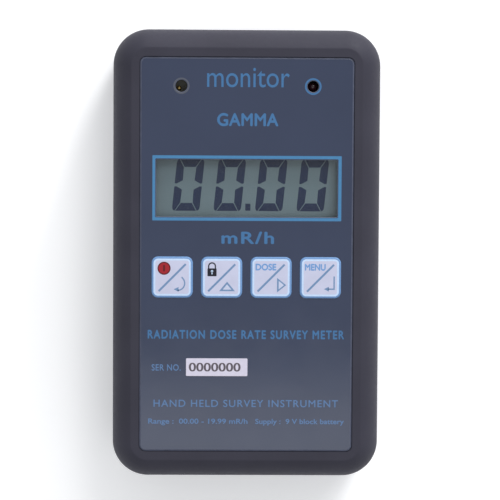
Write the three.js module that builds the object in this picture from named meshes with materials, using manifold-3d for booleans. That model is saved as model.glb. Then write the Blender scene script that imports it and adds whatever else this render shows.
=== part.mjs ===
// Pocket radiation dose-rate meter: a two-shell handheld case with a graphic panel, a four-digit
// liquid-crystal display, four keys, a Geiger-Mueller tube and a 9 V block battery behind a sliding door.
// Millimetres, +Z up. The meter lies on its back: origin at the middle of the rear face, +Y towards
// the sounder and alarm lamp, +X to the right of someone reading the display.
import * as THREE from "three";
import { mergeVertices } from "three/addons/utils/BufferGeometryUtils.js";
import Module from "manifold-3d";

const wasm = await Module();
wasm.setup();

// ---- Driving dimensions ----

const CASE = { width: 66.6, length: 111.6, height: 28, corner: 9, wall: 2.2, split: 14, draft: 0.25 };
const FRONT_EDGE = { width: 4.7, drop: 7, steps: 6 }; // the rounding from the walls up to the flat rim
const REAR_EDGE = { radius: 2, steps: 2 };
const SEAM = 0.1; // between the two shells
const GLUE = 0.05; // between pieces that are stuck or rest on each other
const CORNER_STEPS = 6; // facets in each rounded corner of the case
const OVERLAP = 0.5; // how far features that are one moulding reach into each other
const BEYOND = 1; // how far a cutter reaches past what it cuts

const FLOOR = 2.2; // inside of the rear shell
const CEILING = CASE.height - 2.8; // inside of the front shell
const RECESS_FLOOR = CASE.height - 0.65;
const TONGUE = { inset: 1.2, height: 1.4 }; // lip of the rear shell inside the front shell

const PANEL = { width: 52.7, length: 97.4, corner: 1.5, thickness: 0.4, gap: 0.25 };
const PANEL_BOTTOM = RECESS_FLOOR + GLUE;
const PANEL_TOP = PANEL_BOTTOM + PANEL.thickness;
const WINDOW = { width: 44.7, length: 14.1, y: 16.5, corner: 0.3, relief: 0.3 };
const LENS = { margin: 1.2, thickness: 0.9, play: 0.2, corner: 0.4 };
const PORT = { x: -16.2, y: 41.6, radius: 1.5 };
const LAMP = { x: 16.2, y: 41.6, hole: 1.4, radius: 1.25, flange: 1.8, base: 21.2, top: 26.4 };
const SOUNDER = { radius: 6.4, wall: 0.8, floor: 0.95, ledge: 0.8, disc: 5.45, discThickness: 0.25 };
const LABEL = { x: -7.2, y: -27.8, width: 15.2, length: 4.4, corner: 0.2, thickness: 0.08 };

const KEY = { size: 10.2, corner: 1.6, pitch: 12.2, y: -5.5, gap: 0.15, crown: 0.3 };
const KEY_POCKET = { gap: 0.25, depth: 0.85 };
const KEYS = ["power", "lock_up", "dose_right", "menu_enter"];
const PLUNGER = { radius: 1.7, bottom: 21.6, play: 0.15, holePlay: 0.4 };
const SWITCH = { size: 6, height: 3.5, collar: 2.4 };
const SWITCH_LEG = { y: 2.25, width: 0.7, reach: 1.4, thickness: 0.3 };

const BOARD = { halfWidth: 28.2, top: 19, thickness: 1.6, yLow: -23.6, yHigh: 52 };
const BOARD_BOTTOM = BOARD.top - BOARD.thickness;
const BOARD_SCREWS = [[-25.3, 36.5], [25.3, 36.5], [-18.5, -19.8], [18.5, -19.8]];
const CASE_SCREWS = [[-25.9, 48.4], [25.9, 48.4], [-26.6, -18.2], [26.6, -18.2]];
const BOSS = { radius: 3.2, foot: 4.3, footTop: 5, clearance: 0.8 };
const CASE_SCREW = {
  head: 2.8, headTop: 3.1, headDepth: 2, headPlay: 0.3, shank: 1.35, tip: 21.5,
  hole: 1.7, pilot: 1.5, pilotTop: 23.7,
};
const BOARD_SCREW = {
  head: 2.1, headDepth: 1.6, shank: 1, length: 6.4, hole: 1.3, pilot: 1.15, pilotTop: 24.4, post: 2.5,
};

const DISPLAY = { x: 1.05, y: 17.25, width: 50.8, length: 30.5, ledge: 2, glass: 1.1, film: 0.2, top: 25 };
const PINS = { count: 20, pitch: 2.54, width: 0.5, thickness: 0.3 };

const TUBE = { y: 44.5, z: 9.6, radius: 5.2, halfLength: 17, sleeve: 6.2, sleeveHalf: 11 };
const CLIP = { x: 14, width: 4, thickness: 0.6, play: 0.1, mouthDegrees: 50 };
const BATTERY = { x: -3.1, y: -38.2, z: 11.15, length: 46.4, width: 26.2, thickness: 17.2 };
const TERMINALS = { pitch: 12.7, stud: 2.9, socket: 4, height: 2.4 };
const SNAP = { depth: 5, width: 25.2, thickness: 12, corner: 5 };
const LEAD_RADIUS = 0.65;

const DOOR = { halfWidth: 27, top: 2.2, yHigh: -24.7, gap: 0.2 };
const DOOR_RAIL = { width: 1.3, low: 1.15, high: 2.05, gap: 0.15 };
const GRIPS = { count: 5, first: 5, pitch: 1.9, halfLength: 8, width: 1, depth: 0.45 };
const BAY_WALL = { yLow: -24.2, yHigh: -22.6, top: 16.5, lowHalf: 31.6, highHalf: 30.6 };
const LEAD_NOTCH = { xLow: 19.5, xHigh: 27.5, bottom: 8.5 };
const BATTERY_RIBS = { x: [-18, 12], yLow: -50, yHigh: -27, width: 1.4, gap: 0.45 };

// ---- Colours ----

function paint(color, roughness, metalness = 0) {
  return new THREE.MeshStandardMaterial({ color, roughness, metalness });
}

const casePlastic = paint(0x3e3d47, 0.5);
const panelFilm = paint(0x454b61, 0.45);
const keyFilm = paint(0xd9d8ea, 0.45);
const labelPaper = paint(0xe4e0ec, 0.8);
const clearPlastic = paint(0xe8eef0, 0.1);
const displayGlass = paint(0x66757a, 0.15);
const reflectorFoil = paint(0x68777a, 0.6);
const boardLaminate = paint(0x1f5a36, 0.5);
const blackPlastic = paint(0x1b1b1d, 0.5);
const steel = paint(0xb9bbbd, 0.3, 1);
const brass = paint(0xb08d4a, 0.35, 1);
const tin = paint(0xc4c4c0, 0.4, 1);
const ferrite = paint(0x34312f, 0.8);
const windingTape = paint(0xc9a227, 0.5);
const ceramicBlue = paint(0x2a5da8, 0.5);
const ceramicWhite = paint(0xe6e1d6, 0.5);
const redLens = paint(0x7a1418, 0.2);
const batteryJacket = paint(0x3a3f46, 0.35);
const redVinyl = paint(0xa51d1d, 0.5);
const blackVinyl = paint(0x161616, 0.5);
const trimmerBlue = paint(0x2c55a0, 0.45);

// ---- Solids ----

// A closed geometry as a manifold-3d solid.
function solid(geometry) {
  const bare = geometry.clone();
  for (const name of ["normal", "uv"]) {
    bare.deleteAttribute(name);
  }
  const merged = mergeVertices(bare, 1e-4);
  const vertProperties = merged.attributes.position.array;
  const triVerts = new Uint32Array(merged.index.array);
  return new wasm.Manifold(new wasm.Mesh({ numProp: 3, vertProperties, triVerts }));
}

// A manifold-3d solid as a geometry that three.js can draw.
function geometryOf(body) {
  const { vertProperties, triVerts } = body.getMesh();
  const geometry = new THREE.BufferGeometry();
  geometry.setAttribute("position", new THREE.BufferAttribute(vertProperties, 3));
  geometry.setIndex(new THREE.BufferAttribute(triVerts, 1));
  geometry.computeVertexNormals();
  return geometry;
}

function join(...bodies) {
  return bodies.reduce((sum, body) => sum.add(body));
}

function cut(body, ...tools) {
  return tools.reduce((left, tool) => left.subtract(tool), body);
}

// A box between two corners.
function block(x0, x1, y0, y1, z0, z1) {
  const box = new THREE.BoxGeometry(x1 - x0, y1 - y0, z1 - z0);
  return solid(box.translate((x0 + x1) / 2, (y0 + y1) / 2, (z0 + z1) / 2));
}

// An upright cylinder.
function rod(radius, z0, z1, x = 0, y = 0, sides = 24) {
  const cylinder = new THREE.CylinderGeometry(radius, radius, z1 - z0, sides).rotateX(Math.PI / 2);
  return solid(cylinder.translate(x, y, (z0 + z1) / 2));
}

// A cylinder along X.
function rodX(radius, x0, x1, y = 0, z = 0, sides = 24) {
  const cylinder = new THREE.CylinderGeometry(radius, radius, x1 - x0, sides).rotateZ(-Math.PI / 2);
  return solid(cylinder.translate((x0 + x1) / 2, y, z));
}

// Adds a rounded rectangle to a Shape or Path; with a corner of half its size it is a circle.
function roundedRect(path, x, y, width, length, corner) {
  const halfX = width / 2 - corner;
  const halfY = length / 2 - corner;
  [[1, 1], [-1, 1], [-1, -1], [1, -1]].forEach(([sideX, sideY], quarter) => {
    const start = (quarter * Math.PI) / 2;
    path.absarc(x + sideX * halfX, y + sideY * halfY, corner, start, start + Math.PI / 2, false);
  });
  return path;
}

function circle(path, x, y, radius) {
  return roundedRect(path, x, y, 2 * radius, 2 * radius, radius);
}

function extrude(shape, z0, z1, curveSegments = 2) {
  const options = { depth: z1 - z0, bevelEnabled: false, curveSegments };
  return new THREE.ExtrudeGeometry(shape, options).translate(0, 0, z0);
}

function plate(x, y, width, length, corner, z0, z1, curveSegments = 2) {
  return solid(extrude(roundedRect(new THREE.Shape(), x, y, width, length, corner), z0, z1, curveSegments));
}

// A stack of rounded rectangles, each { z, inset, corner } measured inwards from width x length.
function loft(width, length, levels, steps) {
  const positions = [];
  for (const { z, inset, corner } of levels) {
    [[1, 1], [-1, 1], [-1, -1], [1, -1]].forEach(([sideX, sideY], quarter) => {
      for (let step = 0; step <= steps; step++) {
        const angle = ((quarter + step / steps) * Math.PI) / 2;
        const x = sideX * (width / 2 - inset - corner) + corner * Math.cos(angle);
        const y = sideY * (length / 2 - inset - corner) + corner * Math.sin(angle);
        positions.push(x, y, z);
      }
    });
  }
  const around = 4 * (steps + 1);
  const faces = [];
  for (let level = 0; level + 1 < levels.length; level++) {
    for (let k = 0; k < around; k++) {
      const low = level * around + k;
      const lowNext = level * around + ((k + 1) % around);
      faces.push(low, lowNext, lowNext + around, low, lowNext + around, low + around);
    }
  }
  const top = (levels.length - 1) * around;
  for (let k = 1; k + 1 < around; k++) {
    faces.push(0, k + 1, k, top, top + k, top + k + 1);
  }
  const geometry = new THREE.BufferGeometry();
  geometry.setAttribute("position", new THREE.Float32BufferAttribute(positions, 3));
  geometry.setIndex(faces);
  geometry.computeVertexNormals();
  return solid(geometry);
}

// A turned solid about Z, from [radius, height] points that start and end on the axis.
function turned(points, sides = 24) {
  const profile = points.map(([radius, height]) => new THREE.Vector2(radius, height));
  return solid(new THREE.LatheGeometry(profile, sides).rotateX(Math.PI / 2));
}

function mesh(name, shape, material) {
  const geometry = shape.isBufferGeometry ? shape : geometryOf(shape);
  const made = new THREE.Mesh(geometry, material);
  made.name = name;
  return made;
}

function group(...children) {
  const made = new THREE.Group();
  made.add(...children);
  return made;
}

// ---- Casing ----

function caseLevels(list) {
  return list.map(([z, inset]) => ({ z, inset, corner: CASE.corner - inset }));
}

function caseLoft(list) {
  return loft(CASE.width, CASE.length, caseLevels(list), CORNER_STEPS);
}

function frontOuter() {
  const sweep = 2 * Math.atan2(FRONT_EDGE.width, FRONT_EDGE.drop);
  const radius = FRONT_EDGE.drop / Math.sin(sweep);
  const levels = [[CASE.split + SEAM / 2, 0]];
  for (let step = 0; step <= FRONT_EDGE.steps; step++) {
    const angle = (sweep * step) / FRONT_EDGE.steps;
    const z = CASE.height - FRONT_EDGE.drop + radius * Math.sin(angle);
    levels.push([z, CASE.draft / 2 + radius * (1 - Math.cos(angle))]);
  }
  return caseLoft(levels);
}

function frontInner() {
  const shoulder = CASE.height - FRONT_EDGE.drop;
  return caseLoft([
    [CASE.split - 1, CASE.wall],
    [shoulder, CASE.wall + 0.15],
    [shoulder + 2.6, CASE.wall + 0.8],
    [CEILING, CASE.wall + 2.1],
  ]);
}

function rearOuter() {
  const levels = [];
  for (let step = 0; step <= REAR_EDGE.steps; step++) {
    const angle = ((Math.PI / 2) * step) / REAR_EDGE.steps;
    const z = REAR_EDGE.radius * (1 - Math.cos(angle));
    levels.push([z, CASE.draft + REAR_EDGE.radius * (1 - Math.sin(angle))]);
  }
  levels.push([CASE.split - SEAM / 2, 0]);
  return caseLoft(levels);
}

function rearInner() {
  return caseLoft([
    [FLOOR, CASE.wall + 1],
    [FLOOR + 1.2, CASE.wall + 0.3],
    [CASE.split + TONGUE.height + 1, CASE.wall],
  ]);
}

function tongueLoft(inset, z0, z1) {
  return caseLoft([[z0, inset], [z1, inset]]);
}

function keyX(index) {
  return (index - (KEYS.length - 1) / 2) * KEY.pitch;
}

function frontShell() {
  const outer = frontOuter();
  const rooted = CEILING + OVERLAP;
  const bosses = CASE_SCREWS.map(([x, y]) => rod(BOSS.radius, CASE.split + SEAM / 2, rooted, x, y));
  const posts = BOARD_SCREWS.map(([x, y]) => rod(BOARD_SCREW.post, BOARD.top + GLUE, rooted, x, y, 20));
  const ribLow = BATTERY.z + BATTERY.thickness / 2 + BATTERY_RIBS.gap;
  const halfRib = BATTERY_RIBS.width / 2;
  const ribs = BATTERY_RIBS.x.map((x) => block(
    x - halfRib, x + halfRib, BATTERY_RIBS.yLow, BATTERY_RIBS.yHigh, ribLow, rooted,
  ));
  const rabbet = cut(
    tongueLoft(TONGUE.inset - SEAM, CASE.split - BEYOND, CASE.split + TONGUE.height + SEAM),
    tongueLoft(CASE.wall + 0.6, CASE.split - 2 * BEYOND, CASE.split + TONGUE.height + BEYOND),
  );
  const body = join(cut(outer, frontInner(), rabbet), ...bosses, ...posts, ...ribs);

  const panelSlot = PANEL.gap * 2;
  const recess = plate(
    0, 0, PANEL.width + panelSlot, PANEL.length + panelSlot, PANEL.corner + PANEL.gap,
    RECESS_FLOOR, CASE.height + BEYOND,
  );
  const lensSlot = 2 * (LENS.margin + LENS.play);
  const lensFloor = RECESS_FLOOR - LENS.thickness - 2 * GLUE;
  const lensSeat = plate(
    0, WINDOW.y, WINDOW.width + lensSlot, WINDOW.length + lensSlot, LENS.corner, lensFloor, CASE.height, 1,
  );
  const below = CEILING - BEYOND;
  const relief = 2 * WINDOW.relief;
  const sight = plate(
    0, WINDOW.y, WINDOW.width + relief, WINDOW.length + relief, WINDOW.corner, below, CASE.height, 1,
  );
  const pocketSize = KEY.size + 2 * KEY_POCKET.gap;
  const pocketCorner = KEY.corner + KEY_POCKET.gap;
  const pocketFloor = RECESS_FLOOR - KEY_POCKET.depth;
  const keyCuts = KEYS.flatMap((_, index) => [
    plate(keyX(index), KEY.y, pocketSize, pocketSize, pocketCorner, pocketFloor, CASE.height),
    rod(PLUNGER.radius + PLUNGER.holePlay, below, CASE.height, keyX(index), KEY.y, 16),
  ]);
  const lampHole = rod(LAMP.hole + 0.2, below, CASE.height, LAMP.x, LAMP.y);
  const soundHole = rod(PORT.radius, below, CASE.height, PORT.x, PORT.y);
  const pilots = CASE_SCREWS.map(([x, y]) => (
    rod(CASE_SCREW.pilot, CASE.split - BEYOND, CASE_SCREW.pilotTop, x, y, 16)
  ));
  const postPilots = BOARD_SCREWS.map(([x, y]) => (
    rod(BOARD_SCREW.pilot, BOARD.top - BEYOND, BOARD_SCREW.pilotTop, x, y, 12)
  ));
  return cut(body, recess, lensSeat, sight, ...keyCuts, lampHole, soundHole, ...pilots, ...postPilots);
}

function rearShell() {
  const outer = rearOuter();
  const shell = cut(join(outer, tongueLoft(TONGUE.inset, FLOOR, CASE.split + TONGUE.height)), rearInner());
  const bosses = CASE_SCREWS.flatMap(([x, y]) => [
    rod(BOSS.foot, FLOOR - OVERLAP, BOSS.footTop, x, y),
    rod(BOSS.radius, FLOOR - OVERLAP, CASE.split - SEAM / 2, x, y),
  ]);
  const halfWidth = CASE.width / 2;
  const doorLedge = block(-halfWidth, halfWidth, -CASE.length / 2, BAY_WALL.yHigh, FLOOR - 0.7, FLOOR + 1);
  const { yLow, yHigh, top, lowHalf, highHalf } = BAY_WALL;
  const bayWall = join(
    block(-lowHalf, lowHalf, yLow, yHigh, FLOOR - OVERLAP, CASE.split - 1),
    block(-highHalf, highHalf, yLow, yHigh, FLOOR - OVERLAP, top),
  );
  const features = join(doorLedge, ...bosses).intersect(outer);
  const body = join(shell, features, bayWall);

  const openX = DOOR.halfWidth + DOOR.gap;
  const openY = DOOR.yHigh + DOOR.gap;
  const grooveX = openX + DOOR_RAIL.width;
  const grooveY = openY + DOOR_RAIL.width;
  const outside = -CASE.length;
  const opening = block(-openX, openX, outside, openY, -BEYOND, DOOR.top + 0.1);
  const bay = block(-openX, openX, -CASE.length / 2 + CASE.wall + 0.3, openY, 1, FLOOR + 2);
  const groove = block(
    -grooveX, grooveX, outside, grooveY, DOOR_RAIL.low - DOOR_RAIL.gap, DOOR_RAIL.high + DOOR_RAIL.gap,
  );
  const leadNotch = block(
    LEAD_NOTCH.xLow, LEAD_NOTCH.xHigh, yLow - BEYOND, yHigh + BEYOND, LEAD_NOTCH.bottom, top + BEYOND,
  );
  const seatRadius = CASE_SCREW.head + CASE_SCREW.headPlay;
  const headSeats = CASE_SCREWS.map(([x, y]) => rod(seatRadius, -BEYOND, CASE_SCREW.headTop + GLUE, x, y));
  const holes = CASE_SCREWS.map(([x, y]) => rod(CASE_SCREW.hole, -BEYOND, CASE.split + BEYOND, x, y, 16));
  return cut(body, opening, bay, groove, leadNotch, ...headSeats, ...holes);
}

function batteryDoor() {
  const { halfWidth, top, yHigh } = DOOR;
  const { width, low, high } = DOOR_RAIL;
  const outside = -CASE.length;
  const panel = block(-halfWidth, halfWidth, outside, yHigh, -BEYOND, top);
  const rails = block(-halfWidth - width, halfWidth + width, outside, yHigh + width, low, high);
  const { halfLength, depth } = GRIPS;
  const grips = Array.from({ length: GRIPS.count }, (_, row) => {
    const y = yHigh - GRIPS.first - GRIPS.pitch * row;
    return block(-halfLength, halfLength, y - GRIPS.width / 2, y + GRIPS.width / 2, -BEYOND, depth);
  });
  return cut(join(panel, rails).intersect(rearOuter()), ...grips);
}

// A cross-recessed screw that points up, with its head's outer face at z 0.
function screw({ head, headDepth, shank, length }) {
  const taper = 1.4;
  const body = turned([
    [0, 0], [head * 0.8, 0], [head, 0.35], [head, headDepth - 0.4], [head * 0.82, headDepth],
    [shank, headDepth], [shank, length - taper], [shank * 0.35, length], [0, length],
  ], 14);
  const slot = head * 0.62;
  const blade = head * 0.13;
  const depth = headDepth * 0.5;
  return cut(
    body,
    block(-slot, slot, -blade, blade, -BEYOND, depth),
    block(-blade, blade, -slot, slot, -BEYOND, depth),
  );
}

function casing() {
  const made = group(
    mesh("front_shell", frontShell(), casePlastic),
    mesh("rear_shell", rearShell(), casePlastic),
    mesh("battery_door", batteryDoor(), casePlastic),
  );
  const headFace = CASE_SCREW.headTop - CASE_SCREW.headDepth;
  const blank = screw({ ...CASE_SCREW, length: CASE_SCREW.tip - headFace });
  CASE_SCREWS.forEach(([x, y], index) => {
    const fastener = mesh(`case_screw_${index + 1}`, blank, steel);
    fastener.position.set(x, y, headFace);
    made.add(fastener);
  });
  return made;
}

// ---- Front panel and keys ----

function graphicPanel() {
  const outline = roundedRect(new THREE.Shape(), 0, 0, PANEL.width, PANEL.length, PANEL.corner);
  const openings = [
    roundedRect(new THREE.Path(), 0, WINDOW.y, WINDOW.width, WINDOW.length, WINDOW.corner),
    circle(new THREE.Path(), PORT.x, PORT.y, PORT.radius),
    circle(new THREE.Path(), LAMP.x, LAMP.y, LAMP.hole),
  ];
  const keyOpening = KEY.size + 2 * KEY.gap;
  KEYS.forEach((_, index) => {
    const corner = KEY.corner + KEY.gap;
    openings.push(roundedRect(new THREE.Path(), keyX(index), KEY.y, keyOpening, keyOpening, corner));
  });
  outline.holes.push(...openings);
  return mesh("graphic_panel", extrude(outline, PANEL_BOTTOM, PANEL_TOP), panelFilm);
}

function displayLens() {
  const top = RECESS_FLOOR - GLUE;
  const width = WINDOW.width + 2 * LENS.margin;
  const length = WINDOW.length + 2 * LENS.margin;
  const body = plate(0, WINDOW.y, width, length, LENS.corner, top - LENS.thickness, top, 1);
  return mesh("display_lens", body, clearPlastic);
}

function serialLabel() {
  const bottom = PANEL_TOP + 0.02;
  const { x, y, width, length, corner, thickness } = LABEL;
  return mesh("serial_label", plate(x, y, width, length, corner, bottom, bottom + thickness, 1), labelPaper);
}

function keyPad(name) {
  const profile = [
    [PANEL_BOTTOM, 0], [PANEL_TOP, 0], [PANEL_TOP + KEY.crown * 0.7, 0.35], [PANEL_TOP + KEY.crown, 0.9],
  ];
  const levels = profile.map(([z, inset]) => ({ z, inset, corner: KEY.corner - inset }));
  return mesh(`key_pad_${name}`, loft(KEY.size, KEY.size, levels, 3), keyFilm);
}

function keyPlunger(name) {
  const stem = rod(PLUNGER.radius, PLUNGER.bottom, PANEL_BOTTOM - GLUE, 0, 0, 16);
  return mesh(`switch_plunger_${name}`, stem, blackPlastic);
}

// A tactile switch body with four legs folded out along the board.
function switchBody(name) {
  const half = SWITCH.size / 2;
  const bottom = BOARD.top + GLUE;
  const top = BOARD.top + SWITCH.height;
  const reach = half + SWITCH_LEG.reach;
  const halfLeg = SWITCH_LEG.width / 2;
  const legs = [-SWITCH_LEG.y, SWITCH_LEG.y].map((y) => (
    block(-reach, reach, y - halfLeg, y + halfLeg, bottom, bottom + SWITCH_LEG.thickness)
  ));
  const body = join(
    block(-half, half, -half, half, bottom, top),
    rod(SWITCH.collar, top - 0.1, top + 0.35, 0, 0, 16),
    ...legs,
  );
  const bore = rod(PLUNGER.radius + PLUNGER.play, PLUNGER.bottom - 0.5, top + BEYOND, 0, 0, 16);
  return mesh(`switch_body_${name}`, cut(body, bore), blackPlastic);
}

function keyboard() {
  const made = new THREE.Group();
  KEYS.forEach((name, index) => {
    const key = group(keyPad(name), keyPlunger(name), switchBody(name));
    key.position.set(keyX(index), KEY.y, 0);
    made.add(key);
  });
  return made;
}

// ---- Display ----

// A strip bent into an L, from the rear glass out and down to the board.
function pin(x, foot) {
  const inner = DISPLAY.length / 2 - 1.2;
  const outer = DISPLAY.length / 2 + 0.1 + PINS.thickness;
  const bottom = BOARD.top + GLUE;
  const low = foot + 0.1;
  const high = low + PINS.thickness;
  const corners = [
    [inner, low], [outer - PINS.thickness, low], [outer - PINS.thickness, bottom],
    [outer, bottom], [outer, high], [inner, high],
  ];
  const side = new THREE.Shape(corners.map(([y, z]) => new THREE.Vector2(y, z)));
  const strip = extrude(side, -PINS.width / 2, PINS.width / 2).rotateX(Math.PI / 2).rotateZ(Math.PI / 2);
  return solid(strip.translate(x, 0, 0));
}

function pinRow(name, side) {
  const foot = DISPLAY.top - DISPLAY.film - DISPLAY.glass - GLUE;
  const edge = DISPLAY.length / 2;
  const span = (PINS.count - 1) * PINS.pitch;
  const bar = block(-span / 2 - 0.6, span / 2 + 0.6, edge - 1.3, edge - 0.6, foot, foot + 0.5);
  const pins = Array.from({ length: PINS.count }, (_, k) => pin(k * PINS.pitch - span / 2, foot));
  const row = mesh(name, join(bar, ...pins), tin);
  row.rotation.z = side < 0 ? Math.PI : 0;
  return row;
}

function displayModule() {
  const { width, length, ledge, glass, film, top } = DISPLAY;
  const sheets = [
    ["display_polariser", width - 3, length - 2 * ledge - 1.4, film, displayGlass],
    ["display_front_glass", width, length - 2 * ledge, glass, displayGlass],
    ["display_rear_glass", width, length, glass, displayGlass],
    ["display_reflector", width - 3, length - 3, film, reflectorFoil],
  ];
  const made = group(pinRow("display_pins_upper", 1), pinRow("display_pins_lower", -1));
  let level = top;
  for (const [name, sheetWidth, sheetLength, thickness, material] of sheets) {
    made.add(mesh(name, plate(0, 0, sheetWidth, sheetLength, 0.3, level - thickness, level, 1), material));
    level -= thickness + GLUE;
  }
  made.position.set(DISPLAY.x, DISPLAY.y, 0);
  return made;
}

// ---- Circuit board ----

function boardOutline() {
  const { halfWidth, yLow, yHigh } = BOARD;
  const reach = BOSS.radius + BOSS.clearance;
  const [upperX, upperY] = CASE_SCREWS[1];
  const [lowerX, lowerY] = CASE_SCREWS[3];
  const right = [
    [lowerX - reach, yLow], [lowerX - reach, lowerY + reach], [halfWidth, lowerY + reach],
    [halfWidth, upperY - reach], [upperX - reach, upperY - reach], [upperX - reach, yHigh],
  ];
  const left = right.map(([x, y]) => [-x, y]).reverse();
  return new THREE.Shape([...right, ...left].map(([x, y]) => new THREE.Vector2(x, y)));
}

function circuitBoard() {
  const outline = boardOutline();
  for (const [x, y] of BOARD_SCREWS) {
    outline.holes.push(circle(new THREE.Path(), x, y, BOARD_SCREW.hole));
  }
  return mesh("circuit_board", extrude(outline, BOARD_BOTTOM, BOARD.top), boardLaminate);
}

function boardScrews() {
  const blank = screw({ ...BOARD_SCREW });
  return BOARD_SCREWS.map(([x, y], index) => {
    const fastener = mesh(`board_screw_${index + 1}`, blank, steel);
    fastener.position.set(x, y, BOARD_BOTTOM - BOARD_SCREW.headDepth - GLUE);
    return fastener;
  });
}

// A round-topped indicator lamp with a flange and two legs, which stands on the board's front side.
function alarmLamp() {
  const { radius, flange, base, top } = LAMP;
  const dome = [];
  const steps = 5;
  for (let step = 0; step <= steps; step++) {
    const angle = ((Math.PI / 2) * step) / steps;
    dome.push([radius * Math.cos(angle), top - radius + radius * Math.sin(angle)]);
  }
  const lens = turned([[0, base], [flange, base], [flange, base + 0.9], [radius, base + 0.9], ...dome], 20);
  const legs = [-0.9, 0.9].map((x) => block(x - 0.25, x + 0.25, -0.25, 0.25, BOARD.top + GLUE, base + 0.3));
  const lamp = mesh("alarm_lamp", join(lens, ...legs), redLens);
  lamp.position.set(LAMP.x, LAMP.y, 0);
  return lamp;
}

// A cup on the board's front side with an inner ledge that carries the vibrating disc under the port.
function sounder() {
  const { radius, wall, floor, ledge, disc, discThickness } = SOUNDER;
  const sides = 32;
  const bottom = BOARD.top + GLUE;
  const rim = CEILING - 0.5;
  const ledgeTop = rim - 1;
  const inside = radius - wall;
  const cup = join(
    cut(rod(radius, bottom, rim, 0, 0, sides), rod(inside, bottom + floor, rim + BEYOND, 0, 0, sides)),
    cut(
      rod(inside + wall / 2, bottom + floor / 2, ledgeTop, 0, 0, sides),
      rod(inside - ledge, bottom, rim, 0, 0, sides),
    ),
  );
  const plateBottom = ledgeTop + GLUE;
  const plateBody = rod(disc, plateBottom, plateBottom + discThickness, 0, 0, sides);
  const made = group(mesh("sounder_cup", cup, blackPlastic), mesh("sounder_plate", plateBody, brass));
  made.position.set(PORT.x, PORT.y, 0);
  return made;
}

// The parts below hang from the board's rear side. Each is drawn with the board's rear face at z 0.

// A frame-shaped core with the winding round its middle leg.
function transformer() {
  const core = { x: 9, y: 8, z: 2.5 };
  const opening = { x: 4.6, halfWidth: 2.1, halfLength: 5 };
  const winding = { width: 12.6, thickness: 11.8, corner: 1.6, bore: 5.4, halfLength: 4.8 };
  const frame = block(-core.x, core.x, -core.y, core.y, -core.z, core.z);
  const windows = [-opening.x, opening.x].map((x) => block(
    x - opening.halfWidth, x + opening.halfWidth, -opening.halfLength, opening.halfLength,
    -core.z - BEYOND, core.z + BEYOND,
  ));
  const coilShape = roundedRect(new THREE.Shape(), 0, 0, winding.width, winding.thickness, winding.corner);
  coilShape.holes.push(roundedRect(new THREE.Path(), 0, 0, winding.bore, winding.bore, 0.1));
  const coil = extrude(coilShape, -winding.halfLength, winding.halfLength).rotateX(Math.PI / 2);
  const made = group(
    mesh("transformer_core", cut(frame, ...windows), ferrite),
    mesh("transformer_winding", coil, windingTape),
  );
  made.position.set(-14, 23, BOARD_BOTTOM - 6.2);
  return made;
}

function discCapacitor(name, x, y) {
  const radius = 4.2;
  const centre = -radius - 1.6;
  const disc = rodX(radius, -1.5, 1.5, 0, centre, 20);
  const legs = [-2.5, 2.5].map((offset) => block(-0.3, 0.3, offset - 0.3, offset + 0.3, centre, -GLUE));
  const capacitor = mesh(name, join(disc, ...legs), ceramicBlue);
  capacitor.position.set(x, y, BOARD_BOTTOM);
  return capacitor;
}

function processor() {
  const half = 6;
  const body = plate(0, 0, 2 * half, 2 * half, 0.5, -1.6, -0.15, 1);
  const reach = half + 1;
  const span = half - 1;
  const leadFrame = join(
    block(-reach, reach, -span, span, -0.6, -0.4),
    block(-span, span, -reach, reach, -0.6, -0.4),
  );
  const chip = mesh("processor", join(body, leadFrame), blackPlastic);
  chip.position.set(9, 11, BOARD_BOTTOM);
  return chip;
}

function crystal() {
  const can = plate(0, 0, 10.6, 4, 1.9, -3.5, -0.4);
  const flange = plate(0, 0, 11.4, 4.7, 2.3, -0.7, -GLUE);
  const part = mesh("crystal", join(can, flange), tin);
  part.position.set(9, -2, BOARD_BOTTOM);
  return part;
}

function reservoirCapacitor() {
  const height = 11.3;
  const radius = 3.5;
  const can = turned([
    [0, -height], [radius - 0.4, -height], [radius, -height + 0.4],
    [radius, -2], [radius - 0.3, -1.6], [radius, -1.2],
    [radius, -GLUE], [0, -GLUE],
  ]);
  const capacitor = mesh("reservoir_capacitor", can, blackVinyl);
  capacitor.position.set(-20, 6, BOARD_BOTTOM);
  return capacitor;
}

function regulator() {
  const half = new THREE.Shape();
  half.absarc(0, 0, 2.3, Math.PI * -0.2, Math.PI * 1.2, false);
  const body = solid(extrude(half, -6.6, -2.2, 4));
  const legs = [-1.27, 0, 1.27].map((x) => block(x - 0.22, x + 0.22, -0.22, 0.22, -2.6, -GLUE));
  const part = mesh("voltage_regulator", join(body, ...legs), blackPlastic);
  part.position.set(-8, 1, BOARD_BOTTOM);
  return part;
}

function trimmer() {
  const body = block(-4.8, 4.8, -2.4, 2.4, -10, -0.4);
  const feet = [-3.6, 3.6].map((x) => block(x - 0.6, x + 0.6, -1.8, 1.8, -0.6, -GLUE));
  const dial = cut(rod(1.2, -10.7, -9.8, -3.2, 0, 16), block(-4.6, -1.8, -0.2, 0.2, -11, -10.3));
  const part = mesh("calibration_trimmer", join(body, ...feet, dial), trimmerBlue);
  part.position.set(-19, -7, BOARD_BOTTOM);
  return part;
}

function leadHeader() {
  const body = block(-3.8, 3.8, -2.9, 2.9, -7, -GLUE);
  const sockets = [-1.25, 1.25].map((x) => block(x - 0.85, x + 0.85, -4, -1.2, -5.6, -3.9));
  const part = mesh("lead_header", cut(body, ...sockets), ceramicWhite);
  part.position.set(17, -11, BOARD_BOTTOM);
  return part;
}

// ---- Geiger-Mueller tube ----

// A turned solid along X.
function turnedX(points, sides = 24) {
  const profile = points.map(([radius, x]) => new THREE.Vector2(radius, x));
  return solid(new THREE.LatheGeometry(profile, sides).rotateZ(-Math.PI / 2));
}

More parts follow.
